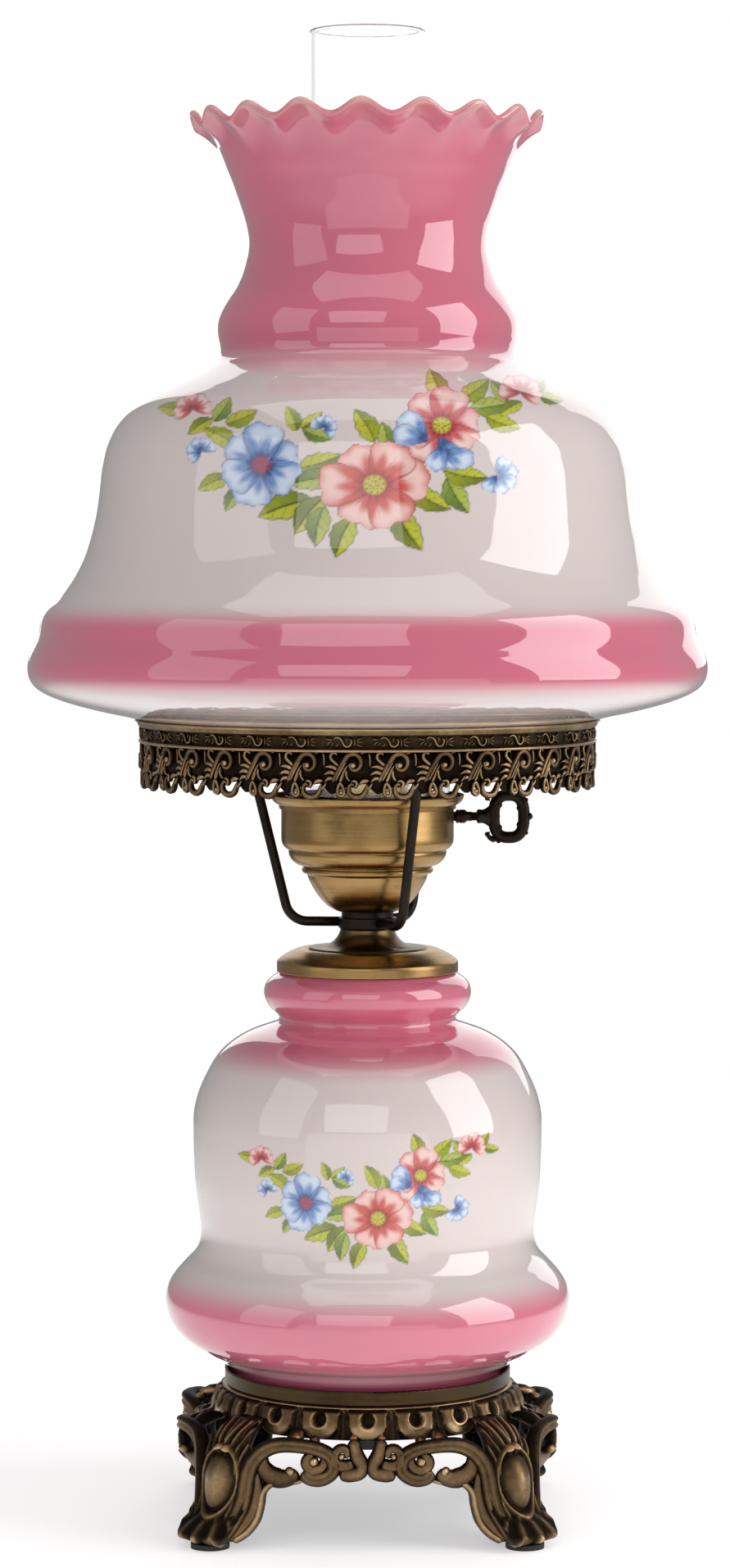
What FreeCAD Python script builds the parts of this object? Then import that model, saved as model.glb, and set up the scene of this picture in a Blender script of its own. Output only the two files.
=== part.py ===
"""A table lamp in the style of an oil lamp: a footed casting, a blown glass font, a burner-shaped cup with a
turn key, a ring that carries a large opal glass shade, and a clear glass chimney.

Millimetres, +Z up, origin on the table under the lamp's axis. The key points along +X.
"""

import FreeCAD, Part

import math
import os

import Sketcher

Vector = FreeCAD.Vector
DOC = FreeCAD.newDocument("parlour_lamp")
UP = Vector(0, 0, 1)

# ---------------------------------------------------------------------------------------------------------
# Driving dimensions
# ---------------------------------------------------------------------------------------------------------

SIZES = {
    # clearances
    "rest_gap": 0.2,  # under a loose glass part
    "bore_gap": 0.35,  # round the central pipe, on the radius
    "shaft_gap": 0.05,  # round the switch shaft, on the radius
    # feet and casting
    "pad_radius": 7.6,
    "pad_thickness": 2.0,
    "leg_count": 4,
    "leg_turn": 45.0,  # degrees from +X to the first leg
    "leg_circle": 87.0,  # radius to the middle of a foot
    "leg_width": 26.0,
    "leg_thickness": 8.0,
    "casting_height": 52.0,
    "ring_radius": 63.2,
    "ring_top_radius": 58.8,
    "ring_bore": 50.0,
    "ring_depth": 12.0,
    "web_thickness": 3.0,
    "web_drop": 4.0,  # from the ring's top face to the web
    "egg_count": 20,
    "egg_radius": 2.6,
    "egg_depth": 1.6,
    "apron_drop": 15.0,  # below the ring
    "apron_thickness": 5.0,
    "apron_hole": 3.4,
    # spun seating cup and glass font
    "sheet": 0.8,  # thickness of the spun brass
    "seat_radius": 57.5,
    "seat_height": 6.4,
    "gasket": 1.0,
    "glass": 3.2,  # wall of the font and of the shade
    "font_foot": 54.4,
    "font_foot_height": 5.0,
    "font_bulge": 81.4,
    "font_bulge_rise": 34.0,
    "font_waist": 67.0,
    "font_waist_rise": 60.5,
    "font_body": 70.0,
    "font_body_rise": 100.0,
    "font_shoulder": 60.8,
    "font_shoulder_rise": 130.2,
    "font_groove": 35.4,
    "font_groove_rise": 145.4,
    "font_collar": 41.6,
    "font_collar_rise": 156.0,
    "font_lip": 34.6,
    "font_height": 166.0,
    # vase cap, neck and holder hub
    "cap_radius": 36.4,
    "cap_skirt": 2.6,
    "cap_crown": 24.0,
    "cap_rise": 4.8,
    "neck_foot": 23.8,
    "neck_radius": 10.8,
    "neck_height": 8.6,
    "hub_radius": 11.6,
    "hub_height": 7.2,
    # central pipe and its fasteners
    "pipe_radius": 4.9,
    "pipe_bore": 3.6,
    "pipe_tail": 18.0,  # below the web
    "nut_flats": 15.0,
    "nut_height": 4.0,
    "washer_radius": 9.5,
    "washer_thickness": 1.2,
    "bushing_radius": 7.0,
    "bushing_height": 7.0,
    "bushing_flange": 2.0,
    "cord_bore": 3.25,
    # burner cup and chimney seat
    "cup_floor": 11.6,
    "cup_bowl": 24.2,
    "cup_bowl_rise": 14.4,
    "cup_bead": 26.2,
    "cup_bead_rise": 18.2,
    "cup_step": 31.7,
    "cup_step_rise": 24.3,
    "cup_radius": 34.6,
    "cup_corner_rise": 27.6,
    "cup_height": 43.0,
    "flange_radius": 38.7,
    "flange_height": 4.3,
    "flange_fold": 1.6,
    # shade holder
    "arm_count": 3,
    "arm_turn": 175.5,
    "arm_size": 4.0,
    "arm_reach": 31.3,
    "arm_lean": 0.245,  # outward run for each unit of rise
    "arm_bend": 9.0,
    "ring_rise": 50.5,  # from the top of the hub to the gallery's lowest point
    "gallery_radius": 91.3,
    "gallery_height": 26.6,
    "gallery_wall": 1.6,
    "gallery_band": 8.6,  # plain height above the pierced skirt
    "gallery_repeats": 32,
    "gallery_scallop": 3.2,
    "gallery_eyelet": 2.2,
    "gallery_slot": 3.6,
    "shelf_width": 13.5,
    "shelf_drop": 6.0,  # from the gallery's top edge to the shelf
    "shelf_thickness": 1.0,
    # shade
    "fitter_gap": 1.5,  # between the gallery and the glass that stands inside it
    "fitter_radius": "=gallery_radius - gallery_wall - fitter_gap",
    "fitter_height": 7.6,
    "shade_brim": 135.8,
    "shade_brim_rise": 26.0,
    "shade_ledge": 130.3,
    "shade_ledge_rise": 45.8,
    "shade_slope": 114.4,
    "shade_slope_rise": 68.7,
    "shade_body": 106.4,
    "shade_body_rise": 105.3,
    "shade_shoulder": 91.9,
    "shade_shoulder_rise": 132.7,
    "shade_groove": 59.0,
    "shade_groove_rise": 150.5,
    "shade_collar": 60.1,
    "shade_collar_rise": 161.0,
    "shade_throat": 47.6,
    "shade_throat_rise": 194.5,
    "shade_flare": 59.8,
    "shade_flare_rise": 232.5,
    "shade_mouth": 70.0,
    "shade_height": 246.4,
    # chimney
    "chimney_glass": 2.0,
    "chimney_foot": 33.0,
    "chimney_foot_height": 12.0,
    "chimney_bulge": 42.4,
    "chimney_bulge_rise": 62.0,
    "chimney_neck": 23.1,
    "chimney_neck_rise": 150.0,
    "chimney_height": 307.2,
    # lamp socket and bulb
    "socket_lift": 6.0,  # above the cup's floor
    "socket_neck": 7.5,
    "socket_neck_height": 8.0,
    "socket_radius": 16.8,
    "socket_cap_height": 16.0,
    "socket_shell_height": 45.0,
    "socket_sheet": 0.5,
    "liner": 0.7,
    "switch_height": 21.0,
    "screw_radius": 13.4,
    "screw_height": 20.0,
    "bulb_base": 12.6,
    "bulb_base_height": 25.0,
    "bulb_neck": 14.0,
    "bulb_radius": 27.0,
    "bulb_height": 104.0,
    "bulb_glass": 1.0,
    # turn key
    "key_rise": 38.1,  # from the top of the hub to the key's axis
    "shaft_radius": 1.9,
    "shaft_start": 9.0,
    "key_collar": 2.75,
    "key_collar_start": 35.4,
    "key_collar_width": 4.3,
    "key_boss": 3.15,
    "key_boss_start": 42.0,
    "key_boss_width": 2.3,
    "bow_start": 42.4,
    "bow_middle": 56.7,
    "bow_width": 16.3,
    "bow_tall": 21.9,
    "bow_eye_width": 9.6,
    "bow_eye_tall": 15.1,
    "bow_thickness": 3.6,
    # night light inside the font
    "night_offset": 26.0,
    "night_rise": 34.0,  # from the font's foot to the bracket
    "strap_width": 12.0,
    "strap_thickness": 1.2,
    "candle_radius": 10.5,
    "candle_height": 30.0,
    "candle_bore": 6.6,
    "night_base": 6.0,
    "night_bulb": 11.0,
    "night_bulb_height": 54.0,
    "night_base_height": 16.0,
}


class Dim:
    """A length or count that keeps both its number and the spreadsheet expression that gives it."""

    def __init__(self, value, text):
        self.value = value
        self.text = text

    def __add__(self, other):
        other = dim(other)
        return Dim(self.value + other.value, f"({self.text} + {other.text})")

    def __sub__(self, other):
        other = dim(other)
        return Dim(self.value - other.value, f"({self.text} - {other.text})")

    def __mul__(self, other):
        other = dim(other)
        return Dim(self.value * other.value, f"({self.text} * {other.text})")

    def __truediv__(self, other):
        other = dim(other)
        return Dim(self.value / other.value, f"({self.text} / {other.text})")

    def __neg__(self):
        return Dim(-self.value, f"(-1 * {self.text})")


def dim(number):
    """A plain number as a Dim."""
    return number if isinstance(number, Dim) else Dim(float(number), repr(float(number)))


class Sheet:
    """The spreadsheet of driving dimensions, read as attributes."""

    def __init__(self, sizes):
        self.table = DOC.addObject("Spreadsheet::Sheet", "Sizes")
        for row, (name, value) in enumerate(sizes.items(), start=1):
            self.table.set(f"A{row}", name)
            self.table.set(f"B{row}", str(value))
            self.table.setAlias(f"B{row}", name)
        DOC.recompute()
        for name in sizes:
            setattr(self, name, Dim(float(getattr(self.table, name)), f"Sizes.{name}"))


S = Sheet(SIZES)

# ---------------------------------------------------------------------------------------------------------
# Heights of the stack, from the table upwards
# ---------------------------------------------------------------------------------------------------------

CASTING_TOP = S.pad_thickness + S.casting_height
RING_BOTTOM = CASTING_TOP - S.ring_depth
WEB_TOP = CASTING_TOP - S.web_drop
WEB_BOTTOM = WEB_TOP - S.web_thickness
SEAT_FLOOR = CASTING_TOP + S.sheet
FONT_BOTTOM = SEAT_FLOOR + S.gasket
FONT_TOP = FONT_BOTTOM + S.font_height
LEDGE = FONT_TOP + S.gasket  # underside of the cap's flat ledge
CAP_TOP = LEDGE + S.sheet + S.cap_rise
NECK_TOP = CAP_TOP + S.neck_height
HUB_TOP = NECK_TOP + S.hub_height
CUP_FLOOR = HUB_TOP + S.sheet
CUP_TOP = HUB_TOP + S.cup_height
KEY_HEIGHT = HUB_TOP + S.key_rise
GALLERY_BOTTOM = HUB_TOP + S.ring_rise
GALLERY_TOP = GALLERY_BOTTOM + S.gallery_height
SHELF_TOP = GALLERY_TOP - S.shelf_drop
SHELF_BOTTOM = SHELF_TOP - S.shelf_thickness
SHADE_BOTTOM = SHELF_TOP + S.rest_gap
CHIMNEY_BOTTOM = CUP_TOP + S.sheet + S.rest_gap
SOCKET_BOTTOM = CUP_FLOOR + S.socket_lift
SHELL_BOTTOM = SOCKET_BOTTOM + S.socket_cap_height - 2 * S.socket_sheet.value
SWITCH_BOTTOM = SHELL_BOTTOM + 3.0
SCREW_BOTTOM = SWITCH_BOTTOM + S.switch_height
BULB_BOTTOM = SCREW_BOTTOM + 1.5
PIPE_BORE = S.pipe_radius + S.bore_gap
PIPE_BOTTOM = WEB_BOTTOM - S.pipe_tail
PIPE_TOP = SOCKET_BOTTOM + S.socket_neck_height
NIGHT_FLOOR = FONT_BOTTOM + S.night_rise

# ---------------------------------------------------------------------------------------------------------
# Drawing tools
# ---------------------------------------------------------------------------------------------------------


class Via:
    """A point that the arc between its two neighbours passes through."""

    def __init__(self, across, along):
        self.across = dim(across)
        self.along = dim(along)


def plane_of(body, role):
    """One of a body's own origin planes."""
    return next(f for f in body.Origin.OriginFeatures if f.Role == role)


def new_sketch(body, name, role):
    sketch = body.newObject("Sketcher::SketchObject", name)
    sketch.AttachmentSupport = [(plane_of(body, role), "")]
    sketch.MapMode = "FlatFace"
    return sketch


def pin_point(sketch, geometry, position, across, along):
    """Ties a sketch point to two expressions."""
    for kind, size, axis in (("DistanceX", across, -2), ("DistanceY", along, -1)):
        if abs(size.value) < 1e-9:
            sketch.addConstraint(Sketcher.Constraint("PointOnObject", geometry, position, axis))
            continue
        made = sketch.addConstraint(Sketcher.Constraint(kind, -1, 1, geometry, position, size.value))
        sketch.setExpression(f"Constraints[{made}]", size.text)


def draw_outline(sketch, outline):
    """A closed outline of corners (across, along), with a Via between two corners that an arc joins."""
    corners = [i for i, item in enumerate(outline) if not isinstance(item, Via)]
    first = sketch.GeometryCount
    edges = len(corners)
    for order, place in enumerate(corners):
        following = corners[(order + 1) % edges]
        start = Vector(*(dim(c).value for c in outline[place]), 0)
        end = Vector(*(dim(c).value for c in outline[following]), 0)
        between = outline[(place + 1) % len(outline)]
        if isinstance(between, Via):
            middle = Vector(between.across.value, between.along.value, 0)
            sketch.addGeometry(Part.Arc(start, middle, end))
        else:
            sketch.addGeometry(Part.LineSegment(start, end))
    ends = []
    for order, place in enumerate(corners):
        start = Vector(*(dim(c).value for c in outline[place]), 0)
        swapped = sketch.getPoint(first + order, 1).distanceToPoint(start) > 1e-6
        ends.append((2, 1) if swapped else (1, 2))
    for order in range(edges):
        after = (order + 1) % edges
        sketch.addConstraint(
            Sketcher.Constraint("Coincident", first + order, ends[order][1], first + after, ends[after][0])
        )
    for order, place in enumerate(corners):
        across, along = (dim(c) for c in outline[place])
        pin_point(sketch, first + order, ends[order][0], across, along)
        between = outline[(place + 1) % len(outline)]
        if isinstance(between, Via):
            point = sketch.addGeometry(Part.Point(Vector(between.across.value, between.along.value, 0)), True)
            pin_point(sketch, point, 1, between.across, between.along)
            sketch.addConstraint(Sketcher.Constraint("PointOnObject", point, 1, first + order))


def new_body(label):
    body = DOC.addObject("PartDesign::Body", label)
    body.Label = label
    return body


def turned(label, outline, across="V_Axis"):
    """A body turned from a half outline: about Z, or about X where across is H_Axis."""
    body = new_body(label)
    sketch = new_sketch(body, label + "_outline", "XZ_Plane")
    draw_outline(sketch, outline)
    feature = body.newObject("PartDesign::Revolution", label + "_turned")
    feature.Profile = sketch
    feature.ReferenceAxis = (sketch, [across])
    feature.Angle = 360
    body.Tip = feature
    return body


def ring(label, inner, outer, bottom, top):
    """A plain washer, tube or collar."""
    return turned(label, [(inner, bottom), (outer, bottom), (outer, top), (inner, top)])


def move(feature, x=0, y=0, z=0, turn=0):
    """Places a feature by expressions, with a turn about Z in degrees."""
    if dim(turn).value:
        feature.Placement = FreeCAD.Placement(Vector(), FreeCAD.Rotation(UP, dim(turn).value))
        feature.setExpression("Placement.Rotation.Angle", dim(turn).text)
    for axis, size in (("x", x), ("y", y), ("z", z)):
        feature.setExpression(f"Placement.Base.{axis}", dim(size).text)


def cylinder(name, radius, height, **place):
    feature = DOC.addObject("Part::Cylinder", name)
    feature.setExpression("Radius", dim(radius).text)
    feature.setExpression("Height", dim(height).text)
    move(feature, **place)
    return feature


def cut(label, base, tool):
    feature = DOC.addObject("Part::Cut", label)
    feature.Base = base
    feature.Tool = tool
    feature.Label = label
    return feature


def hex_nut(label, bottom):
    """A hexagon nut on the central pipe."""
    prism = DOC.addObject("Part::Prism", label + "_hexagon")
    prism.Polygon = 6
    prism.setExpression("Circumradius", (S.nut_flats / math.sqrt(3)).text)
    prism.setExpression("Height", S.nut_height.text)
    move(prism, z=bottom)
    bore = cylinder(label + "_bore", PIPE_BORE, S.nut_height, z=bottom)
    return cut(label, prism, bore)


def group(label, features):
    """Several separate solids in one node."""
    feature = DOC.addObject("Part::Compound", label)
    feature.Links = features
    feature.Label = label
    return feature


def shaped(label, shape):
    """A piece whose form needs curves or lofts that a sketch doesn't give."""
    feature = DOC.addObject("Part::Feature", label)
    feature.Shape = shape
    feature.Label = label
    return feature


def polar(radius, degrees, height=0.0):
    angle = math.radians(degrees)
    return Vector(radius * math.cos(angle), radius * math.sin(angle), height)


# ---------------------------------------------------------------------------------------------------------
# Blown glass: a smooth outline through its named landmarks, with an even wall
# ---------------------------------------------------------------------------------------------------------


def smooth_edge(points):
    curve = Part.BSplineCurve()
    curve.interpolate(points)
    return curve


def blown(landmarks, wall, base, sealed=False):
    """A glass shell of revolution whose outside passes through (radius, rise) landmarks above base."""
    outside = [Vector(radius.value, 0, base.value + dim(rise).value) for radius, rise in landmarks]
    outer = smooth_edge(outside)
    inside = []
    for point in outside:
        along = outer.tangent(outer.parameter(point))[0]
        inside.append(point + Vector(-along.z, 0, along.x) * wall.value)
    inside[0].z = outside[0].z
    inside[-1].z = outside[-1].z
    inner = smooth_edge(inside)
    if sealed:
        inside[-1] = outside[-1] - UP * wall.value
        inner = smooth_edge(inside)
        tip = [outside[-1], UP * outside[-1].z, UP * inside[-1].z, inside[-1]]
    else:
        tip = [outside[-1], inside[-1]]
    edges = [Part.LineSegment(a, b).toShape() for a, b in zip(tip, tip[1:])]
    edges += [
        outer.toShape(),
        inner.toShape(),
        Part.LineSegment(inside[0], outside[0]).toShape(),
    ]
    face = Part.Face(Part.Wire(Part.__sortEdges__(edges)))
    return face.revolve(Vector(), UP, 360)


def glass_font():
    landmarks = [
        (S.font_foot, 0),
        (S.font_foot, S.font_foot_height),
        (S.font_foot + 7.5, S.font_foot_height + 4.9),
        (S.font_bulge - 6.0, S.font_bulge_rise - 15.5),
        (S.font_bulge, S.font_bulge_rise),
        (S.font_bulge - 4.0, S.font_bulge_rise + 8.4),
        (S.font_waist + 2.2, S.font_waist_rise - 9.3),
        (S.font_waist, S.font_waist_rise),
        (S.font_waist + 2.2, S.font_waist_rise + 20.0),
        (S.font_body, S.font_body_rise),
        (S.font_body - 1.2, S.font_body_rise + 11.7),
        (S.font_shoulder + 3.2, S.font_shoulder_rise - 4.8),
        (S.font_shoulder - 4.8, S.font_shoulder_rise + 4.7),
        (S.font_groove + 4.0, S.font_groove_rise - 3.4),
        (S.font_groove, S.font_groove_rise),
        (S.font_groove + 3.0, S.font_groove_rise + 3.6),
        (S.font_collar, S.font_collar_rise),
        (S.font_collar - 2.0, S.font_collar_rise + 5.4),
        (S.font_lip, S.font_height - 1.5),
        (S.font_lip, S.font_height),
    ]
    return shaped("glass_font", blown(landmarks, S.glass, FONT_BOTTOM))


def glass_shade():
    landmarks = [
        (S.fitter_radius, 0),
        (S.fitter_radius, S.fitter_height - 1.8),
        (S.fitter_radius + 3.6, S.fitter_height + 0.1),
        (S.fitter_radius + 17.4, S.fitter_height + 3.6),
        (S.shade_brim - 11.0, S.shade_brim_rise - 11.6),
        (S.shade_brim - 2.4, S.shade_brim_rise - 6.6),
        (S.shade_brim, S.shade_brim_rise),
        (S.shade_brim - 2.2, S.shade_brim_rise + 8.0),
        (S.shade_ledge, S.shade_ledge_rise),
        (S.shade_ledge - 2.4, S.shade_ledge_rise + 5.0),
        (S.shade_slope + 9.4, S.shade_slope_rise - 13.7),
        (S.shade_slope, S.shade_slope_rise),
        (S.shade_body + 4.2, S.shade_body_rise - 26.0),
        (S.shade_body, S.shade_body_rise),
        (S.shade_body - 2.8, S.shade_body_rise + 11.5),
        (S.shade_shoulder + 8.0, S.shade_shoulder_rise - 8.6),
        (S.shade_shoulder, S.shade_shoulder_rise),
        (S.shade_shoulder - 16.4, S.shade_shoulder_rise + 9.1),
        (S.shade_groove + 3.2, S.shade_groove_rise - 2.2),
        (S.shade_groove, S.shade_groove_rise + 1.4),
        (S.shade_collar, S.shade_collar_rise),
        (S.shade_collar - 2.6, S.shade_collar_rise + 9.0),
        (S.shade_throat + 3.4, S.shade_throat_rise - 12.4),
        (S.shade_throat, S.shade_throat_rise),
        (S.shade_throat + 4.4, S.shade_throat_rise + 18.5),
        (S.shade_flare, S.shade_flare_rise),
        (S.shade_mouth - 5.6, S.shade_height - 6.2),
        (S.shade_mouth, S.shade_height),
    ]
    return shaped("glass_shade", blown(landmarks, S.glass, SHADE_BOTTOM))


def glass_chimney():
    straight = S.chimney_height - S.chimney_neck_rise
    landmarks = [
        (S.chimney_foot, 0),
        (S.chimney_foot, S.chimney_foot_height * 0.5),
        (S.chimney_foot + 0.4, S.chimney_foot_height),
        (S.chimney_bulge - 2.2, S.chimney_bulge_rise * 0.62),
        (S.chimney_bulge, S.chimney_bulge_rise),
        (S.chimney_bulge - 2.6, S.chimney_bulge_rise + 22.0),
        (S.chimney_neck + 9.0, S.chimney_neck_rise - 40.0),
        (S.chimney_neck + 2.4, S.chimney_neck_rise - 17.0),
    ]
    landmarks += [(S.chimney_neck, S.chimney_neck_rise + straight * (0.25 * quarter)) for quarter in range(5)]
    return shaped("glass_chimney", blown(landmarks, S.chimney_glass, CHIMNEY_BOTTOM))


# ---------------------------------------------------------------------------------------------------------
# Footed casting
# ---------------------------------------------------------------------------------------------------------


def prism_of(points, depth):
    """A smooth closed outline pushed along depth, both ways from its plane."""
    curve = Part.BSplineCurve()
    curve.interpolate(points, PeriodicFlag=True)
    face = Part.Face(Part.Wire([curve.toShape()]))
    face.translate(depth * -0.5)
    return face.extrude(depth)


def leg_shape():
    """One leg along +X: its side outline crossed with its front outline, with a pierced scroll on each flank."""
    foot = S.leg_circle.value
    low = S.pad_thickness.value
    thick = S.leg_thickness.value
    half = S.leg_width.value / 2
    root = S.ring_radius.value - 5.0
    top = RING_BOTTOM.value + 3.0
    tall = top - low
    side = [
        Vector(foot - thick, 0, low),
        Vector(foot + thick - 1.0, 0, low),
        Vector(foot + thick, 0, low + 0.10 * tall),
        Vector(foot + 2.5, 0, low + 0.30 * tall),
        Vector(foot + 2.0, 0, low + 0.70 * tall),
        Vector(foot - 1.5, 0, low + 0.94 * tall),
        Vector(foot - 8.0, 0, top),
        Vector(root, 0, top),
        Vector(root, 0, RING_BOTTOM.value + 0.5),
        Vector(foot - 9.5, 0, low + 0.84 * tall),
        Vector(foot - 5.5, 0, low + 0.66 * tall),
        Vector(foot - 5.5, 0, low + 0.32 * tall),
    ]
    front = [
        Vector(0, -half * 0.8, low - 0.5),
        Vector(0, half * 0.8, low - 0.5),
        Vector(0, half * 1.1, low + 0.35 * tall),
        Vector(0, half * 1.3, low + 0.70 * tall),
        Vector(0, half * 0.8, top + 3.0),
        Vector(0, -half * 0.8, top + 3.0),
        Vector(0, -half * 1.3, low + 0.70 * tall),
        Vector(0, -half * 1.1, low + 0.35 * tall),
    ]
    side_face = Part.Face(Part.makePolygon(side + side[:1]))
    side_face.translate(Vector(0, -2 * half, 0))
    body = side_face.extrude(Vector(0, 4 * half, 0))
    front_face = Part.Face(Part.makePolygon(front + front[:1]))
    front_face.translate(Vector(root - 5.0, 0, 0))
    reach = front_face.extrude(Vector(foot + 2 * thick - root, 0, 0))
    leg = body.common(reach)
    middle = RING_BOTTOM.value - 5.0
    scrolls = []
    for turn in (-14.5, 14.5):
        start = polar(foot - 10.0, turn, middle)
        scroll = Part.makeCylinder(2.4 * S.apron_hole.value, 7.0, start, polar(1, turn))
        eye = Part.makeCylinder(S.apron_hole.value * 0.9, 7.0, start, polar(1, turn))
        scrolls.append(scroll.cut(eye))
    return leg.fuse(scrolls)


def apron_shape(turn):
    """The pierced panel between two legs, which faces along turn."""
    half = (S.leg_circle.value - 3.0) / math.sqrt(2)
    outer = S.ring_radius.value + 1.5
    thick = S.apron_thickness.value
    low = RING_BOTTOM.value - S.apron_drop.value
    tall = S.apron_drop.value + 1.0
    panel = Part.makeBox(thick, 2 * half, tall, Vector(outer - thick, -half, low))
    middle = RING_BOTTOM.value - S.apron_drop.value * 0.50
    for share, scale in ((-0.52, 1.25), (-0.24, 0.8), (0.0, 0.9), (0.24, 0.8), (0.52, 1.25)):
        start = Vector(outer - 2 * thick, share * half, middle)
        panel = panel.cut(Part.makeCylinder(S.apron_hole.value * scale, 3 * thick, start, Vector(1, 0, 0)))
    panel.rotate(Vector(), UP, turn)
    return panel


def base_casting():
    top_radius = S.ring_top_radius.value
    low, top = RING_BOTTOM.value, CASTING_TOP.value
    bore = S.ring_bore.value
    web_low, web_top = WEB_BOTTOM.value, WEB_TOP.value
    hole = PIPE_BORE.value
    outline = [
        Vector(hole, 0, web_low),
        Vector(bore, 0, web_low),
        Vector(bore + 2.0, 0, low),
        Vector(S.ring_radius.value - 3.0, 0, low),
        Vector(S.ring_radius.value, 0, low + 3.0),
        Vector(top_radius + 0.8, 0, top - 2.0),
        Vector(top_radius, 0, top),
        Vector(bore, 0, top),
        Vector(bore, 0, web_top),
        Vector(hole, 0, web_top),
    ]
    casting = Part.Face(Part.makePolygon(outline + outline[:1])).revolve(Vector(), UP, 360)
    dimples = []
    middle = (low + top) / 2 + 1.0
    depth = S.ring_radius.value - S.egg_depth.value
    for number in range(int(S.egg_count.value)):
        angle = S.leg_turn.value + (number + 0.5) * 360.0 / S.egg_count.value
        start = polar(depth, angle, middle)
        dimples.append(Part.makeCylinder(S.egg_radius.value, 10.0, start, polar(1, angle)))
    casting = casting.cut(dimples)
    pieces = []
    step = 360.0 / S.leg_count.value
    for number in range(int(S.leg_count.value)):
        turn = S.leg_turn.value + number * step
        leg = leg_shape()
        leg.rotate(Vector(), UP, turn)
        pieces += [leg, apron_shape(turn + step / 2)]
    return shaped("base_casting", casting.fuse(pieces).removeSplitter())


def foot_pads():
    pads = []
    for number in range(int(S.leg_count.value)):
        pad = DOC.addObject("Part::Cylinder", f"pad_{number + 1}")
        pad.setExpression("Radius", S.pad_radius.text)
        pad.setExpression("Height", S.pad_thickness.text)
        angle = S.leg_turn + Dim(360.0 * number, str(360.0 * number)) / S.leg_count
        pad.setExpression("Placement.Base.x", f"{S.leg_circle.text} * cos({angle.text} * 1 deg)")
        pad.setExpression("Placement.Base.y", f"{S.leg_circle.text} * sin({angle.text} * 1 deg)")
        pads.append(pad)
    return group("foot_pads", pads)


# ---------------------------------------------------------------------------------------------------------
# Spun brass of the font: seating cup, cap, neck and hub
# ---------------------------------------------------------------------------------------------------------


def seating_cup():
    rim = CASTING_TOP + S.seat_height
    inner = S.seat_radius - S.sheet
    outline = [
        (PIPE_BORE, CASTING_TOP),
        (S.seat_radius - 1.0, CASTING_TOP),
        (S.seat_radius, CASTING_TOP + 1.0),
        (S.seat_radius, rim - 0.8),
        Via(S.seat_radius - 0.4, rim),
        (inner, rim - 0.8),
        (inner, SEAT_FLOOR),
        (PIPE_BORE, SEAT_FLOOR),
    ]
    return turned("seating_cup", outline)


def font_gaskets():
    lower_inner = S.font_foot - S.glass - 2.0
    lower = ring("foot_gasket", lower_inner, S.font_foot, SEAT_FLOOR, FONT_BOTTOM)
    upper = ring("lip_gasket", S.font_lip - S.glass, S.font_lip - 0.3, FONT_TOP, LEDGE)
    return [lower, upper]


def vase_cap():
    skirt = LEDGE - S.cap_skirt
    inner = S.cap_radius - S.sheet
    ledge_top = LEDGE + S.sheet
    outline = [
        (PIPE_BORE, CAP_TOP - S.sheet),
        (S.cap_crown - 0.6, CAP_TOP - S.sheet),
        Via(S.cap_crown + 5.2, CAP_TOP - S.sheet - 1.9),
        (S.font_lip - S.glass - 0.4, LEDGE),
        (inner, LEDGE),
        (inner, skirt),
        (S.cap_radius, skirt),
        (S.cap_radius, ledge_top - 0.8),
        Via(S.cap_radius - 0.24, ledge_top - 0.24),
        (S.cap_radius - 0.8, ledge_top),
        (S.font_lip - S.glass + 0.6, ledge_top + 0.3),
        Via(S.cap_crown + 5.6, CAP_TOP - 1.7),
        (S.cap_crown, CAP_TOP),
        (PIPE_BORE, CAP_TOP),
    ]
    return turned("vase_cap", outline)


def neck():
    outline = [
        (PIPE_BORE, CAP_TOP),
        (S.neck_foot - 0.8, CAP_TOP),
        (S.neck_foot, CAP_TOP + 0.6),
        (S.neck_foot - 0.6, CAP_TOP + 1.4),
        (S.neck_foot - 3.0, CAP_TOP + 1.6),
        Via(S.neck_radius + 2.6, CAP_TOP + S.neck_height * 0.48),
        (S.neck_radius, NECK_TOP),
        (PIPE_BORE, NECK_TOP),
    ]
    return turned("neck", outline)


def holder_hub():
    outline = [
        (PIPE_BORE, NECK_TOP),
        (S.hub_radius - 0.8, NECK_TOP),
        (S.hub_radius, NECK_TOP + 0.8),
        (S.hub_radius, HUB_TOP - 2.6),
        (S.hub_radius - 1.2, HUB_TOP - 2.2),
        (S.hub_radius - 1.2, HUB_TOP),
        (PIPE_BORE, HUB_TOP),
    ]
    return turned("holder_hub", outline)


# ---------------------------------------------------------------------------------------------------------
# Central pipe and its fasteners
# ---------------------------------------------------------------------------------------------------------


def pipe_and_fasteners():
    ring("lamp_pipe", S.pipe_bore, S.pipe_radius, PIPE_BOTTOM, PIPE_TOP)
    washer_low = WEB_BOTTOM - S.washer_thickness
    ring("base_washer", PIPE_BORE, S.washer_radius, washer_low, WEB_BOTTOM)
    hex_nut("base_nut", washer_low - S.nut_height)
    hex_nut("cup_nut", CUP_FLOOR)
    low = PIPE_BOTTOM - S.bushing_flange
    outline = [
        (S.cord_bore, low),
        (S.bushing_radius, low),
        (S.bushing_radius, PIPE_BOTTOM + S.bushing_height - 2.0),
        (S.bushing_radius - 0.8, PIPE_BOTTOM + S.bushing_height),
        (S.pipe_radius, PIPE_BOTTOM + S.bushing_height),
        (S.pipe_radius, PIPE_BOTTOM),
        (S.cord_bore, PIPE_BOTTOM),
    ]
    turned("cord_bushing", outline)


# ---------------------------------------------------------------------------------------------------------
# Burner cup and chimney seat
# ---------------------------------------------------------------------------------------------------------


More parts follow.
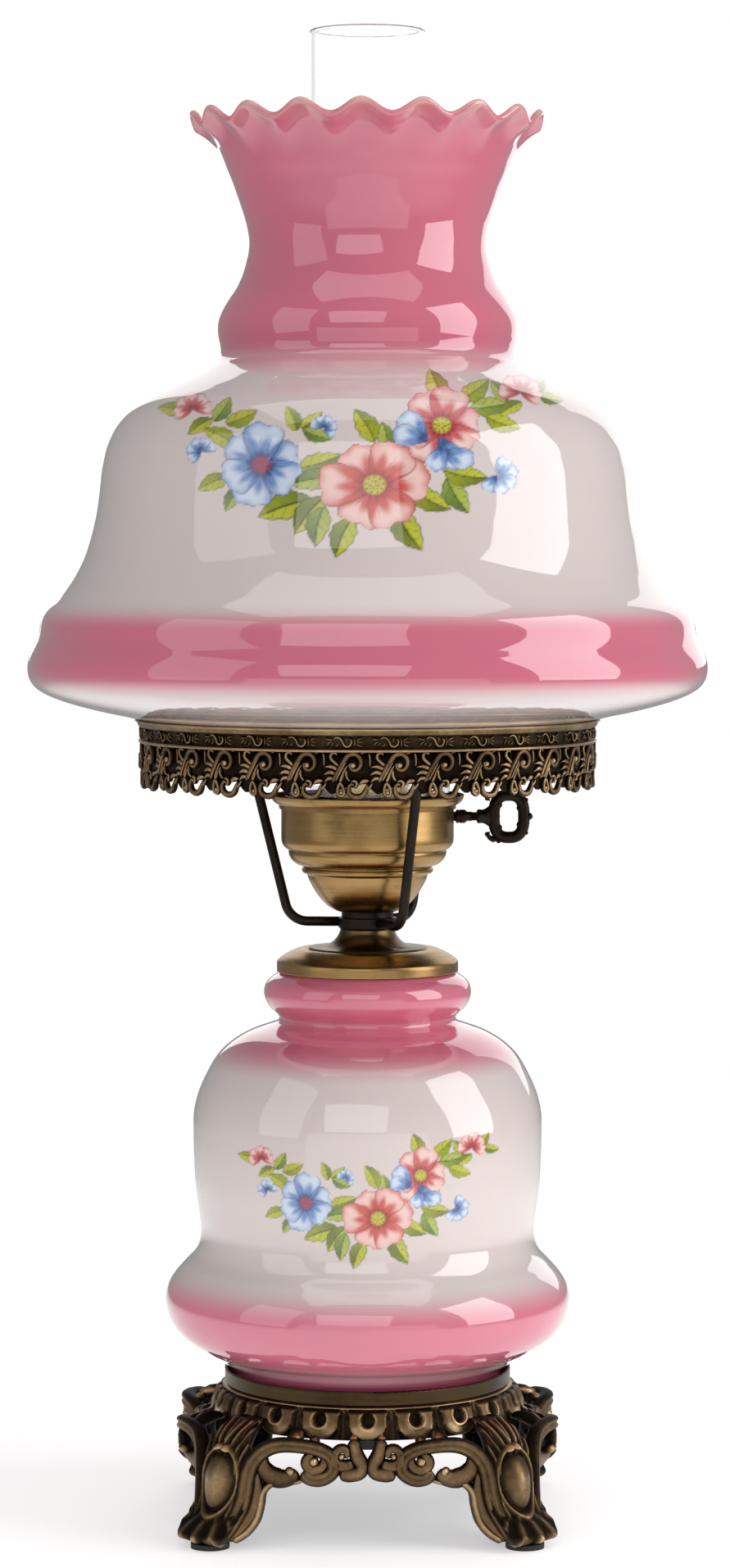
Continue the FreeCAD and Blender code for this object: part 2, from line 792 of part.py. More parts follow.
def burner_cup():
    wall = S.sheet
    outside = [
        (S.cup_floor, HUB_TOP),
        Via(S.cup_bowl - 4.4, HUB_TOP + 6.4),
        (S.cup_bowl, HUB_TOP + S.cup_bowl_rise),
        (S.cup_bowl + 0.9, HUB_TOP + S.cup_bowl_rise + 0.8),
        (S.cup_bead, HUB_TOP + S.cup_bead_rise),
        Via(S.cup_step - 1.2, HUB_TOP + S.cup_bead_rise + 1.8),
        (S.cup_step, HUB_TOP + S.cup_step_rise),
        Via(S.cup_radius - 0.7, HUB_TOP + S.cup_corner_rise - 1.3),
        (S.cup_radius, HUB_TOP + S.cup_corner_rise + 1.6),
        (S.cup_radius, CUP_TOP),
    ]
    inside = [
        (S.cup_radius - wall, CUP_TOP),
        (S.cup_radius - wall, HUB_TOP + S.cup_corner_rise + 1.7),
        Via(S.cup_radius - wall - 0.7, HUB_TOP + S.cup_corner_rise - 0.9),
        (S.cup_step - wall, HUB_TOP + S.cup_step_rise + 0.4),
        Via(S.cup_step - wall - 1.2, HUB_TOP + S.cup_bead_rise + 2.4),
        (S.cup_bead - wall, HUB_TOP + S.cup_bead_rise + 0.4),
        (S.cup_bowl + 0.9 - wall, HUB_TOP + S.cup_bowl_rise + 1.2),
        (S.cup_bowl - wall, HUB_TOP + S.cup_bowl_rise + 0.4),
        Via(S.cup_bowl - 4.4 - wall, HUB_TOP + 6.9),
        (S.cup_floor - 0.2, CUP_FLOOR),
        (PIPE_BORE, CUP_FLOOR),
        (PIPE_BORE, HUB_TOP),
    ]
    body = turned("burner_cup", outside + inside)
    return bored_along_x(body, S.shaft_radius + S.bore_gap, S.cup_radius)


def bored_along_x(body, radius, reach):
    """Bores the key's hole through the +X side of a turned body."""
    sketch = new_sketch(body, body.Label + "_key_hole", "YZ_Plane")
    circle = sketch.addGeometry(Part.Circle(Vector(0, KEY_HEIGHT.value, 0), Vector(0, 0, 1), radius.value))
    pin_point(sketch, circle, 3, dim(0), KEY_HEIGHT)
    made = sketch.addConstraint(Sketcher.Constraint("Radius", circle, radius.value))
    sketch.setExpression(f"Constraints[{made}]", radius.text)
    DOC.recompute()
    solid = body.Shape.Volume
    pocket = body.newObject("PartDesign::Pocket", body.Label + "_key_bore")
    pocket.Profile = sketch
    pocket.setExpression("Length", (reach + 1.0).text)
    pocket.Reversed = True
    body.Tip = pocket
    DOC.recompute()
    if body.Shape.Volume > solid - 0.5:
        raise RuntimeError(body.Label + " has no key hole")
    return body


def chimney_seat():
    """The rolled flange on top of the cup, which the chimney stands in."""
    low = CUP_TOP - S.flange_fold
    lip = CUP_TOP + S.flange_height
    wall = S.sheet
    outline = [
        (S.cup_radius + 0.02, low),
        (S.cup_radius + wall, low),
        (S.cup_radius + wall + 0.2, CUP_TOP),
        Via(S.flange_radius - 1.0, CUP_TOP + 1.3),
        (S.flange_radius, lip - 0.8),
        Via(S.flange_radius - wall / 2, lip - 0.2),
        (S.flange_radius - wall, lip - 0.8),
        Via(S.flange_radius - wall - 0.9, CUP_TOP + 1.9),
        (S.cup_radius + 0.4, CUP_TOP + wall),
        (S.cup_radius - 3.2, CUP_TOP + wall),
        (S.cup_radius - 3.2, CUP_TOP),
        (S.cup_radius + 0.02, CUP_TOP),
    ]
    return turned("chimney_seat", outline)


# ---------------------------------------------------------------------------------------------------------
# Shade holder: three bent arms, a shelf and the pierced gallery
# ---------------------------------------------------------------------------------------------------------


def holder_arms():
    size = S.arm_size.value
    low = (NECK_TOP.value + HUB_TOP.value) / 2 - 0.6
    high = SHELF_BOTTOM.value - size / 2 + 0.01
    lean_top = S.arm_reach.value + S.arm_lean.value * (high - low)
    start = Vector(S.hub_radius.value, 0, low)
    corner_low = Vector(S.arm_reach.value, 0, low)
    corner_high = Vector(lean_top, 0, high)
    end = Vector(S.gallery_radius.value - S.gallery_wall.value - 0.2, 0, high)
    path = rounded_path([start, corner_low, corner_high, end], S.arm_bend.value)
    half = size / 2
    square = [
        Vector(start.x, -half, low - half),
        Vector(start.x, half, low - half),
        Vector(start.x, half, low + half),
        Vector(start.x, -half, low + half),
    ]
    profile = Part.makePolygon(square + square[:1])
    arm = path.makePipeShell([profile], True, False)
    arms = []
    for number in range(int(S.arm_count.value)):
        copy = arm.copy()
        copy.rotate(Vector(), UP, S.arm_turn.value + number * 360.0 / S.arm_count.value)
        arms.append(copy)
    return shaped("holder_arms", Part.makeCompound(arms))


def rounded_path(points, radius):
    """Straight runs joined by tangent arcs."""
    edges = []
    here = points[0]
    for before, corner, after in zip(points, points[1:], points[2:]):
        back = (before - corner).normalize()
        on = (after - corner).normalize()
        half_angle = back.getAngle(on) / 2
        run = radius / math.tan(half_angle)
        centre = corner + (back + on).normalize() * (radius / math.sin(half_angle))
        enter, leave = corner + back * run, corner + on * run
        middle = centre + (corner - centre).normalize() * radius
        edges += [Part.LineSegment(here, enter).toShape(), Part.Arc(enter, middle, leave).toShape()]
        here = leave
    edges.append(Part.LineSegment(here, points[-1]).toShape())
    return Part.Wire(edges)


def shade_shelf():
    """The inner ledge that the shade stands on."""
    outer = S.gallery_radius - S.gallery_wall
    return ring("shade_shelf", outer - S.shelf_width, outer, SHELF_BOTTOM, SHELF_TOP)


def shade_gallery():
    """The pierced ring: a plain band above, and a skirt with slots, eyelets and a scalloped edge."""
    outer, wall = S.gallery_radius.value, S.gallery_wall.value
    low, high = GALLERY_BOTTOM.value, GALLERY_TOP.value
    skirt_top = high - S.gallery_band.value
    outline = [
        Vector(outer - wall, 0, low),
        Vector(outer, 0, low),
        Vector(outer, 0, high - 0.6),
        Vector(outer - 0.6, 0, high),
        Vector(outer - wall, 0, high),
    ]
    band = Part.Face(Part.makePolygon(outline + outline[:1])).revolve(Vector(), UP, 360)
    repeats = int(S.gallery_repeats.value)
    step = 360.0 / repeats
    reach = 4 * wall
    tools = []
    for number in range(repeats):
        notch = (number + 0.5) * step
        middle = number * step
        start = polar(outer - reach / 2, notch, low)
        tools.append(Part.makeCylinder(S.gallery_scallop.value, reach, start, polar(1, notch)))
        start = polar(outer - reach / 2, middle, low + 2.4 * S.gallery_eyelet.value)
        tools.append(Part.makeCylinder(S.gallery_eyelet.value, reach, start, polar(1, middle)))
        start = polar(outer - reach / 2, notch, skirt_top - S.gallery_slot.value - 1.0)
        tools.append(Part.makeCylinder(S.gallery_slot.value * 0.8, reach, start, polar(1, notch)))
    return shaped("shade_gallery", band.cut(tools))


# ---------------------------------------------------------------------------------------------------------
# Lamp socket, bulb and key
# ---------------------------------------------------------------------------------------------------------


def lamp_socket():
    sheet = S.socket_sheet
    cap_top = SOCKET_BOTTOM + S.socket_cap_height
    neck_top = SOCKET_BOTTOM + S.socket_neck_height
    thread = S.pipe_radius + 0.02
    outline = [
        (thread, SOCKET_BOTTOM),
        (S.socket_neck, SOCKET_BOTTOM),
        (S.socket_neck, neck_top),
        Via(S.socket_radius - 2.4, neck_top + 2.6),
        (S.socket_radius + sheet, cap_top - 2.0),
        (S.socket_radius + sheet, cap_top),
        (S.socket_radius + 0.02, cap_top),
        (S.socket_radius + 0.02, cap_top - 2.0),
        Via(S.socket_radius - 2.9, neck_top + 3.2),
        (S.socket_neck - 0.5, neck_top + 0.7),
        (thread, neck_top + 0.7),
    ]
    turned("socket_cap", outline)
    shell_low = SHELL_BOTTOM
    shell_top = shell_low + S.socket_shell_height
    shell = ring("socket_shell", S.socket_radius - sheet, S.socket_radius, shell_low, shell_top)
    bored_along_x(shell, S.shaft_radius + S.bore_gap, S.socket_radius)
    liner_outer = S.socket_radius - sheet - 0.05
    liner_inner = liner_outer - S.liner
    liner = ring("socket_liner", liner_inner, liner_outer, shell_low + 0.5, shell_top - 1.0)
    bored_along_x(liner, S.shaft_radius + S.bore_gap, S.socket_radius)
    block_outer = liner_inner - 0.05
    block_outline = [(0, SWITCH_BOTTOM), (block_outer, SWITCH_BOTTOM), (block_outer, SCREW_BOTTOM), (0, SCREW_BOTTOM)]
    block = turned("switch_block", block_outline)
    bored_along_x(block, S.shaft_radius + S.shaft_gap, S.socket_radius)
    ring("screw_shell", S.screw_radius - 0.4, S.screw_radius, SCREW_BOTTOM, SCREW_BOTTOM + S.screw_height)
    contact_top = BULB_BOTTOM
    turned("centre_contact", [(0, SCREW_BOTTOM), (3.0, SCREW_BOTTOM), (3.0, contact_top), (0, contact_top)])


def bulb():
    base_top = BULB_BOTTOM + S.bulb_base_height
    wall = S.bulb_glass
    tip = BULB_BOTTOM + S.bulb_height
    cap_outline = [
        (0, BULB_BOTTOM),
        (4.5, BULB_BOTTOM),
        (S.bulb_base - 1.0, BULB_BOTTOM + 3.5),
        (S.bulb_base, BULB_BOTTOM + 4.5),
        (S.bulb_base, base_top),
        (S.bulb_base - 0.5, base_top),
        (S.bulb_base - 0.5, BULB_BOTTOM + 5.0),
        (0, BULB_BOTTOM + 4.0),
    ]
    turned("bulb_cap", cap_outline)
    centre = tip - base_top - S.bulb_radius
    landmarks = [
        (S.bulb_base, 0),
        (S.bulb_neck, 4.0),
        (S.bulb_neck + 2.5, centre - S.bulb_radius * 1.37),
        (S.bulb_neck + 5.2, centre - S.bulb_radius * 0.963),
    ]
    for degrees in (-35, -5, 25, 50, 70, 87):
        turn = math.radians(degrees)
        landmarks.append((S.bulb_radius * math.cos(turn), centre + S.bulb_radius * math.sin(turn)))
    shaped("bulb_envelope", blown(landmarks, wall, base_top, sealed=True))


def key_parts():
    """The switch shaft and the cast key, both turning about the axis at KEY_HEIGHT along +X."""
    collar_end = S.key_collar_start + S.key_collar_width
    outline = [
        (S.shaft_start, 0),
        (S.shaft_start, S.shaft_radius),
        (S.key_collar_start, S.shaft_radius),
        (S.key_collar_start, S.key_collar),
        (collar_end, S.key_collar),
        (collar_end, S.shaft_radius),
        (S.key_boss_start, S.shaft_radius),
        (S.key_boss_start, 0),
    ]
    shaft = turned("switch_shaft", outline, across="H_Axis")
    move(shaft, z=KEY_HEIGHT)
    body = new_body("turn_key")
    sketch = new_sketch(body, "boss_outline", "XZ_Plane")
    boss_end = S.key_boss_start + S.key_boss_width
    bow_inner = S.bow_middle - S.bow_eye_width / 2
    boss = [
        (S.key_boss_start, 0),
        (S.key_boss_start, S.key_boss),
        (boss_end, S.key_boss),
        (boss_end, S.key_boss - 1.0),
        (bow_inner - 0.6, S.key_boss - 1.0),
        (bow_inner - 0.6, 0),
    ]
    draw_outline(sketch, boss)
    turning = body.newObject("PartDesign::Revolution", "boss")
    turning.Profile = sketch
    turning.ReferenceAxis = (sketch, ["H_Axis"])
    turning.Angle = 360
    bow = new_sketch(body, "bow_outline", "XZ_Plane")
    for wide, tall in ((S.bow_width, S.bow_tall), (S.bow_eye_width, S.bow_eye_tall)):
        left, right = S.bow_middle - wide / 2, S.bow_middle + wide / 2
        arc = (tall - wide) / 2
        loop = [
            (left, -arc),
            (left, arc),
            Via(S.bow_middle, tall / 2),
            (right, arc),
            (right, -arc),
            Via(S.bow_middle, -(tall / 2)),
        ]
        draw_outline(bow, loop)
    pad = body.newObject("PartDesign::Pad", "bow")
    pad.Profile = bow
    pad.setExpression("Length", S.bow_thickness.text)
    pad.Midplane = True
    body.Tip = pad
    move(body, z=KEY_HEIGHT)


# ---------------------------------------------------------------------------------------------------------
# Night light inside the font
# ---------------------------------------------------------------------------------------------------------


def night_light():
    strap_top = NIGHT_FLOOR + S.strap_thickness
    strap = DOC.addObject("Part::Box", "strap_blank")
    strap.setExpression("Length", (S.night_offset + S.strap_width).text)
    strap.setExpression("Width", S.strap_width.text)
    strap.setExpression("Height", S.strap_thickness.text)
    move(strap, x=-S.night_offset - S.strap_width / 2, y=-(S.strap_width / 2), z=NIGHT_FLOOR)
    bore = cylinder("strap_bore", S.pipe_radius + 0.02, S.strap_thickness, z=NIGHT_FLOOR)
    cut("night_strap", strap, bore)
    collar = ring("strap_collar", S.pipe_radius + 0.02, S.pipe_radius + 3.0, strap_top, strap_top + 5.0)
    low, top = strap_top, strap_top + S.candle_height
    cup_outline = [
        (0, low),
        (S.candle_radius, low),
        (S.candle_radius, top),
        (S.candle_bore, top),
        (S.candle_bore, low + 6.0),
        (0, low + 6.0),
    ]
    holder = turned("night_socket", cup_outline)
    base_low = top - S.night_base_height + 1.0
    cap_top = base_low + S.night_base_height
    cap = turned("night_bulb_cap", [(0, base_low), (S.night_base, base_low), (S.night_base, cap_top), (0, cap_top)])
    tip = base_low + S.night_bulb_height
    centre = tip - S.night_bulb
    glass_outline = [
        (0, cap_top),
        (S.night_base, cap_top),
        (S.night_bulb, centre),
        Via(S.night_bulb * 0.7071, centre + S.night_bulb * 0.7071),
        (1.0, tip),
        (0, tip),
    ]
    glass = turned("night_bulb_envelope", glass_outline)
    for part in (holder, cap, glass):
        move(part, x=-S.night_offset)
    return collar


# ---------------------------------------------------------------------------------------------------------
# Build, check and write
# ---------------------------------------------------------------------------------------------------------

NODES = [
    "foot_pads", "base_casting", "seating_cup", "foot_gasket", "glass_font", "lip_gasket", "vase_cap", "neck",
    "holder_hub", "lamp_pipe", "base_washer", "base_nut", "cup_nut", "cord_bushing", "burner_cup",
    "chimney_seat", "holder_arms", "shade_shelf", "shade_gallery", "glass_shade", "glass_chimney",
    "socket_cap", "socket_shell", "socket_liner", "switch_block", "screw_shell", "centre_contact",
    "bulb_cap", "bulb_envelope", "switch_shaft", "turn_key", "night_strap", "strap_collar", "night_socket",
    "night_bulb_cap", "night_bulb_envelope",
]


def build():
    foot_pads()
    base_casting()
    seating_cup()
    font_gaskets()
    glass_font()
    vase_cap()
    neck()
    holder_hub()
    pipe_and_fasteners()
    burner_cup()
    chimney_seat()
    holder_arms()
    shade_shelf()
    shade_gallery()
    glass_shade()
    glass_chimney()
    lamp_socket()
    bulb()
    key_parts()
    night_light()
    DOC.recompute()


def write():
    """Checks every object, then writes each node's shape."""
    for feature in DOC.Objects:
        if {"Invalid", "Error"} & set(feature.State):
            raise RuntimeError(f"{feature.Label} failed: {feature.State}")
    os.makedirs("parts", exist_ok=True)
    for label in NODES:
        shape = DOC.getObjectsByLabel(label)[0].Shape
        if shape.isNull() or not shape.isValid() or not shape.Solids:
            raise RuntimeError(f"{label} has no valid solid")
        shape.exportStep(f"parts/{label}.step")
        box = shape.BoundBox
        print(f"{label}: {len(shape.Solids)} solid, {shape.Volume:.0f} mm3, z {box.ZMin:.1f} to {box.ZMax:.1f}")


build()
write()
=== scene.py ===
import math

import bpy
import numpy as np
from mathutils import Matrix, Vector


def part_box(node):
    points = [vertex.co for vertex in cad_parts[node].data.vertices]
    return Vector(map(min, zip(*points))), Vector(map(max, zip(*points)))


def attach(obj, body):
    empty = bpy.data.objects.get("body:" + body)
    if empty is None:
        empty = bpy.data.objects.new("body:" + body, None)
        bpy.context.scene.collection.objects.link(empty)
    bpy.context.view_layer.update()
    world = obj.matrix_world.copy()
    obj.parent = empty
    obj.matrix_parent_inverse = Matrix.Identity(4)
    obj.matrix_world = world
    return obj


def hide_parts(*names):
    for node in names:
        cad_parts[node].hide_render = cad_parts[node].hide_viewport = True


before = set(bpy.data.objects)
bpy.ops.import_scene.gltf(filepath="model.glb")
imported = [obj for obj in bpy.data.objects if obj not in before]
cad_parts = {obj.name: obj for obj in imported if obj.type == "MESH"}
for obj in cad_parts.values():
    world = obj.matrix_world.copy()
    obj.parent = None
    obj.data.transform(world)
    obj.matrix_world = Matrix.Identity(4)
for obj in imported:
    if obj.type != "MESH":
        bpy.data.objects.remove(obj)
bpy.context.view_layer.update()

MM = 0.001
TAU = 2 * math.pi

# ---- Mesh tools (all lengths in millimetres until the mesh is made) ----


SAME_PLACE = 1e-6


def between(t, start, end, a, b):
    return (end - t) / (end - start) * a + (t - start) / (end - start) * b


def circle(count):
    """Angles spaced evenly once round."""
    return np.linspace(0, TAU, count, endpoint=False)


def polar(r, angle, z):
    """Points at radius r, angle and height z."""
    return np.stack(np.broadcast_arrays(r * np.cos(angle), r * np.sin(angle), z), axis=-1)


def heights(node):
    """The lowest and highest height of a CAD node."""
    return [corner.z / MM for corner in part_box(node)]


def smooth(points, step=2.0, closed=False):
    """A centripetal Catmull-Rom curve through points, as an array with about step between samples."""
    pts = [np.array(p, float) for p in points]
    if closed:
        pts = [pts[-1]] + pts + pts[:2]
    else:
        pts = [2 * pts[0] - pts[1]] + pts + [2 * pts[-1] - pts[-2]]
    out = []
    for i in range(1, len(pts) - 2):
        p0, p1, p2, p3 = pts[i - 1 : i + 3]
        knots = [0.0]
        for a, b in ((p0, p1), (p1, p2), (p2, p3)):
            knots.append(knots[-1] + max(np.linalg.norm(b - a), SAME_PLACE) ** 0.5)
        t0, t1, t2, t3 = knots
        count = max(2, int(np.linalg.norm(p2 - p1) / step + 0.5))
        for t in np.linspace(t1, t2, count, endpoint=False):
            a1, a2, a3 = between(t, t0, t1, p0, p1), between(t, t1, t2, p1, p2), between(t, t2, t3, p2, p3)
            b1, b2 = between(t, t0, t2, a1, a2), between(t, t1, t3, a2, a3)
            out.append(between(t, t1, t2, b1, b2))
    if not closed:
        out.append(pts[-2])
    return np.array(out)


def resample(line, step):
    """The same polyline with samples step apart; step may be a function of the point."""
    line = np.asarray(line, float)
    if not callable(step):
        fixed = step
        step = lambda p: fixed
    length = np.concatenate([[0], np.cumsum(np.linalg.norm(np.diff(line, axis=0), axis=1))])
    stops = [0.0]
    while stops[-1] < length[-1]:
        here = np.array([np.interp(stops[-1], length, line[:, k]) for k in range(line.shape[1])])
        stops.append(stops[-1] + step(here))
    stops = np.array(stops) * (length[-1] / stops[-1])
    return np.stack([np.interp(stops, length, line[:, k]) for k in range(line.shape[1])], axis=1)


def inward(outer, wall):
    """The (r, z) profile moved inwards by wall along its normals."""
    tangent = np.gradient(outer, axis=0)
    tangent /= np.linalg.norm(tangent, axis=1)[:, None]
    normal = np.stack([-tangent[:, 1], tangent[:, 0]], axis=1)
    return outer + normal * wall


class Mesh:
    """Collects vertices, faces and a per-vertex colour or value before one object is made."""

    def __init__(self):
        self.verts, self.faces, self.paint = [], [], []

    def grid(self, points, wrap_rows=False, paint=1.0, flip=False, ends=False):
        """Quads over a rows x columns x 3 array whose columns close; ends closes its first and last row.

        paint is a wear value or a colour, for all the points or for each.
        """
        rows, columns = points.shape[:2]
        start = sum(len(v) for v in self.verts)
        self.verts.append(np.reshape(points, (-1, 3)))
        paint = np.asarray(paint, float)
        if paint.ndim in (0, 2):
            paint = paint[..., None]
        self.paint.append(np.broadcast_to(paint, points.shape).reshape(-1, 3))
        for i in range(rows if wrap_rows else rows - 1):
            this, after = start + i * columns, start + (i + 1) % rows * columns
            for j in range(columns):
                k = (j + 1) % columns
                face = (this + j, this + k, after + k, after + j)
                self.faces.append(face[::-1] if flip else face)
        if ends:
            first, last = (tuple(range(at, at + columns)) for at in (start, start + (rows - 1) * columns))
            self.faces += [first, last[::-1]] if flip else [first[::-1], last]
        return start

    def join_loops(self, one, two, flip=False):
        """Joins two rings of vertex numbers, each in the same turning order, with triangles."""
        every = np.concatenate(self.verts)
        ang = lambda ids: np.unwrap(np.arctan2(every[ids][:, 1], every[ids][:, 0]))
        one, two = list(one), list(two)
        a, b = ang(one), ang(two)
        b = b + TAU * round((a[0] - b[0]) / TAU)
        a = np.append(a, a[0] + TAU)
        b = np.append(b, b[0] + TAU)
        i = j = 0
        while i < len(one) or j < len(two):
            if j >= len(two) or (i < len(one) and a[i + 1] <= b[j + 1]):
                face = (one[i % len(one)], one[(i + 1) % len(one)], two[j % len(two)])
                i += 1
            else:
                face = (one[i % len(one)], two[(j + 1) % len(two)], two[j % len(two)])
                j += 1
            self.faces.append(face[::-1] if flip else face)

    def make(self, name, material, node=None, body="lamp"):
        """One smooth object; with a node, it rides on body and stands for that node."""
        data = bpy.data.meshes.new(name)
        data.from_pydata([tuple(v) for v in np.concatenate(self.verts) * MM], [], self.faces)
        data.update()
        colours = np.concatenate(self.paint)
        layer = data.color_attributes.new("paint", "FLOAT_COLOR", "POINT")
        layer.data.foreach_set("color", np.concatenate([colours, np.ones((len(colours), 1))], axis=1).ravel())
        data.polygons.foreach_set("use_smooth", [True] * len(data.polygons))
        data.materials.append(material)
        obj = bpy.data.objects.new(name, data)
        bpy.context.scene.collection.objects.link(obj)
        if node:
            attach(obj, body)
            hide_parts(node)
        return obj


def round_points(profile, angles, change=None):
    """profile (n x 2 of r, z) turned through angles; change(r, z, angle) may move the result."""
    r, z, t = np.broadcast_arrays(profile[:, :1], profile[:, 1:], np.asarray(angles)[None, :])
    if change:
        r, z = change(r, z, t)
    return polar(r, t, z)


FRONT = 1.5 * math.pi  # the angle of -Y, where the painted side faces


def front_angles(middle_half, fine, coarse):
    """Angles once round, close together within middle_half of the front (-Y)."""
    inner = np.linspace(FRONT - middle_half, FRONT + middle_half, max(2, int(2 * middle_half / fine)))
    rest = TAU - 2 * middle_half
    outer = np.linspace(FRONT + middle_half, FRONT + middle_half + rest, int(rest / coarse) + 1)[1:-1]
    return np.concatenate([inner, outer])


def mix(a, b, share):
    share = np.clip(share, 0, 1)[..., None]
    return np.asarray(a) * (1 - share) + np.asarray(b) * share


def ease(x, low, high):
    """0 below low, 1 above high, smooth between."""
    t = np.clip((x - low) / (high - low), 0, 1)
    return t * t * (3 - 2 * t)


# ---- Materials ----


class Nodes:
    """Short calls for building a node material."""

    def __init__(self, name):
        self.material = bpy.data.materials.new(name)
        self.material.use_nodes = True
        self.tree = self.material.node_tree
        self.tree.nodes.clear()
        self.output = self.tree.nodes.new("ShaderNodeOutputMaterial")

    def add(self, kind, **values):
        node = self.tree.nodes.new(kind)
        for key, value in values.items():
            if key.startswith("_"):
                setattr(node, key[1:], value)
            else:
                self.feed(node.inputs[key.replace("__", " ")], value)
        return node

    def feed(self, socket, value):
        if isinstance(value, bpy.types.NodeSocket):
            self.tree.links.new(value, socket)
        else:
            socket.default_value = value

    def where(self, scale=(1, 1, 1)):
        place = self.add("ShaderNodeTexCoord").outputs["Object"]
        return self.add("ShaderNodeMapping", Vector=place, Scale=scale).outputs["Vector"]

    def noise(self, place, scale, detail=4.0, rough=0.55):
        node = self.add("ShaderNodeTexNoise", Vector=place, Scale=scale, Detail=detail, Roughness=rough)
        return node.outputs["Fac"]

    def ramp(self, value, *stops):
        node = self.add("ShaderNodeValToRGB", Fac=value)
        ramp = node.color_ramp
        while len(ramp.elements) < len(stops):
            ramp.elements.new(0.5)
        for element, (at, colour) in zip(ramp.elements, stops):
            element.position = at
            element.color = (*colour, 1) if len(colour) == 3 else colour
        return node.outputs["Color"]

    def math(self, kind, a, b=0.0):
        node = self.add("ShaderNodeMath", _operation=kind)
        for socket, value in zip(node.inputs, (a, b)):
            self.feed(socket, value)
        return node.outputs[0]

    def total(self, *parts):
        """The sum of two (value, weight) parts."""
        one, two = (v if weight == 1 else self.math("MULTIPLY", v, weight) for v, weight in parts)
        return self.math("ADD", one, two)

    def mixed(self, factor, a, b, how):
        node = self.add("ShaderNodeMix", _data_type="RGBA", _blend_type=how)
        for index, value in ((0, factor), (6, a), (7, b)):
            self.feed(node.inputs[index], value)
        return node.outputs[2]

    def span(self, value, low, high):
        node = self.add("ShaderNodeMapRange", Value=value)
        node.inputs["To Min"].default_value = low
        node.inputs["To Max"].default_value = high
        return node.outputs["Result"]

    def bump(self, height, strength, distance):
        node = self.add("ShaderNodeBump", Height=height, Strength=strength, Distance=distance)
        return node.outputs["Normal"]

    def surface(self, **values):
        shader = self.add("ShaderNodeBsdfPrincipled", **values)
        self.tree.links.new(shader.outputs["BSDF"], self.output.inputs["Surface"])
        return self.material


def painted_glass(name):
    """Opal glass with its colour fired on: the mesh carries the colour, the shader its depth and gloss."""
    n = Nodes(name)
    paint = n.add("ShaderNodeVertexColor", _layer_name="paint").outputs["Color"]
    place = n.where()
    cloud = n.span(n.noise(place, 22.0, 3.0), 0.965, 1.03)
    shade = n.add("ShaderNodeCombineColor", Red=cloud, Green=cloud, Blue=cloud).outputs["Color"]
    colour = n.mixed(1.0, paint, shade, "MULTIPLY")
    sheen = n.span(n.noise(place, 60.0, 2.0), 0.035, 0.075)
    ripple = n.bump(n.noise(n.where((1.0, 1.0, 0.45)), 16.0, 1.0), 0.10, 0.004)
    return n.surface(
        Base__Color=colour, Roughness=sheen, Normal=ripple, IOR=1.52, Subsurface__Weight=0.25,
        Subsurface__Radius=(0.006, 0.004, 0.004), Subsurface__Scale=0.6,
        Coat__Weight=1.0, Coat__IOR=1.62, Coat__Roughness=0.02
    )


def clear_glass():
    n = Nodes("clear_chimney_glass")
    place = n.where((1, 1, 0.4))
    wave = n.bump(n.noise(place, 30.0, 1.0), 0.05, 0.002)
    smear = n.span(n.noise(place, 90.0, 3.0), 0.0, 0.035)
    return n.surface(
        Base__Color=(0.90, 0.885, 0.89, 1), Roughness=smear, Normal=wave, IOR=1.47, Transmission__Weight=1.0
    )


def spun_brass(name, light=(0.36, 0.225, 0.088), dark=(0.13, 0.076, 0.028), rough=0.25):
    """Spun, brushed and antiqued brass: fine turned lines, brown lacquer that pools unevenly."""
    n = Nodes(name)
    lines = n.noise(n.where((0.012, 0.012, 1.0)), 2600.0, 4.0, 0.7)
    fine = n.noise(n.where((0.03, 0.03, 1.0)), 900.0, 3.0, 0.6)
    cloud = n.noise(n.where(), 42.0, 5.0, 0.6)
    tone = n.total((cloud, 0.72), (fine, 0.28))
    colour = n.ramp(tone, (0.26, dark), (0.46, light), (0.70, tuple(min(1, c * 1.25) for c in light)))
    roughness = n.span(n.total((lines, 0.6), (cloud, 0.4)), rough - 0.07, rough + 0.12)
    both = n.total((lines, 1), (fine, 0.8))
    return n.surface(
        Base__Color=colour, Metallic=1.0, Roughness=roughness, Normal=n.bump(both, 0.05, 0.00015),
        Anisotropic=0.5
    )


def cast_brass(name):
    """Antiqued cast brass: the mesh says how worn or sunken each place is, and the patina follows it."""
    n = Nodes(name)
    wear = n.add("ShaderNodeVertexColor", _layer_name="paint").outputs["Color"]
    wear = n.add("ShaderNodeSeparateColor", Color=wear).outputs["Red"]
    place = n.where()
    broad = n.noise(place, 55.0, 4.0)
    grain = n.noise(place, 420.0, 5.0, 0.65)
    tone = n.total((wear, 1), (n.math("SUBTRACT", broad, 0.5), 0.45))
    tone = n.total((tone, 1), (n.math("SUBTRACT", grain, 0.5), 0.28))
    colour = n.ramp(
        tone, (0.10, (0.010, 0.006, 0.0035)), (0.38, (0.042, 0.026, 0.013)),
        (0.62, (0.17, 0.108, 0.053)), (0.92, (0.52, 0.36, 0.19))
    )
    roughness = n.span(n.math("SUBTRACT", 1.0, tone), 0.24, 0.62)
    pits = n.total((grain, 1), (n.noise(place, 1400.0, 2.0), 0.5))
    return n.surface(
        Base__Color=colour, Metallic=0.95, Roughness=roughness, Normal=n.bump(pits, 0.35, 0.0003)
    )


def dark_bronze(name):
    n = Nodes(name)
    place = n.where()
    cloud = n.noise(place, 80.0, 4.0)
    grain = n.noise(place, 700.0, 4.0)
    tone = n.total((cloud, 0.6), (grain, 0.4))
    colour = n.ramp(
        tone, (0.3, (0.008, 0.006, 0.005)), (0.6, (0.026, 0.018, 0.013)), (0.8, (0.10, 0.065, 0.035))
    )
    return n.surface(
        Base__Color=colour, Metallic=0.85, Roughness=n.span(grain, 0.26, 0.5),
        Normal=n.bump(grain, 0.25, 0.0003)
    )


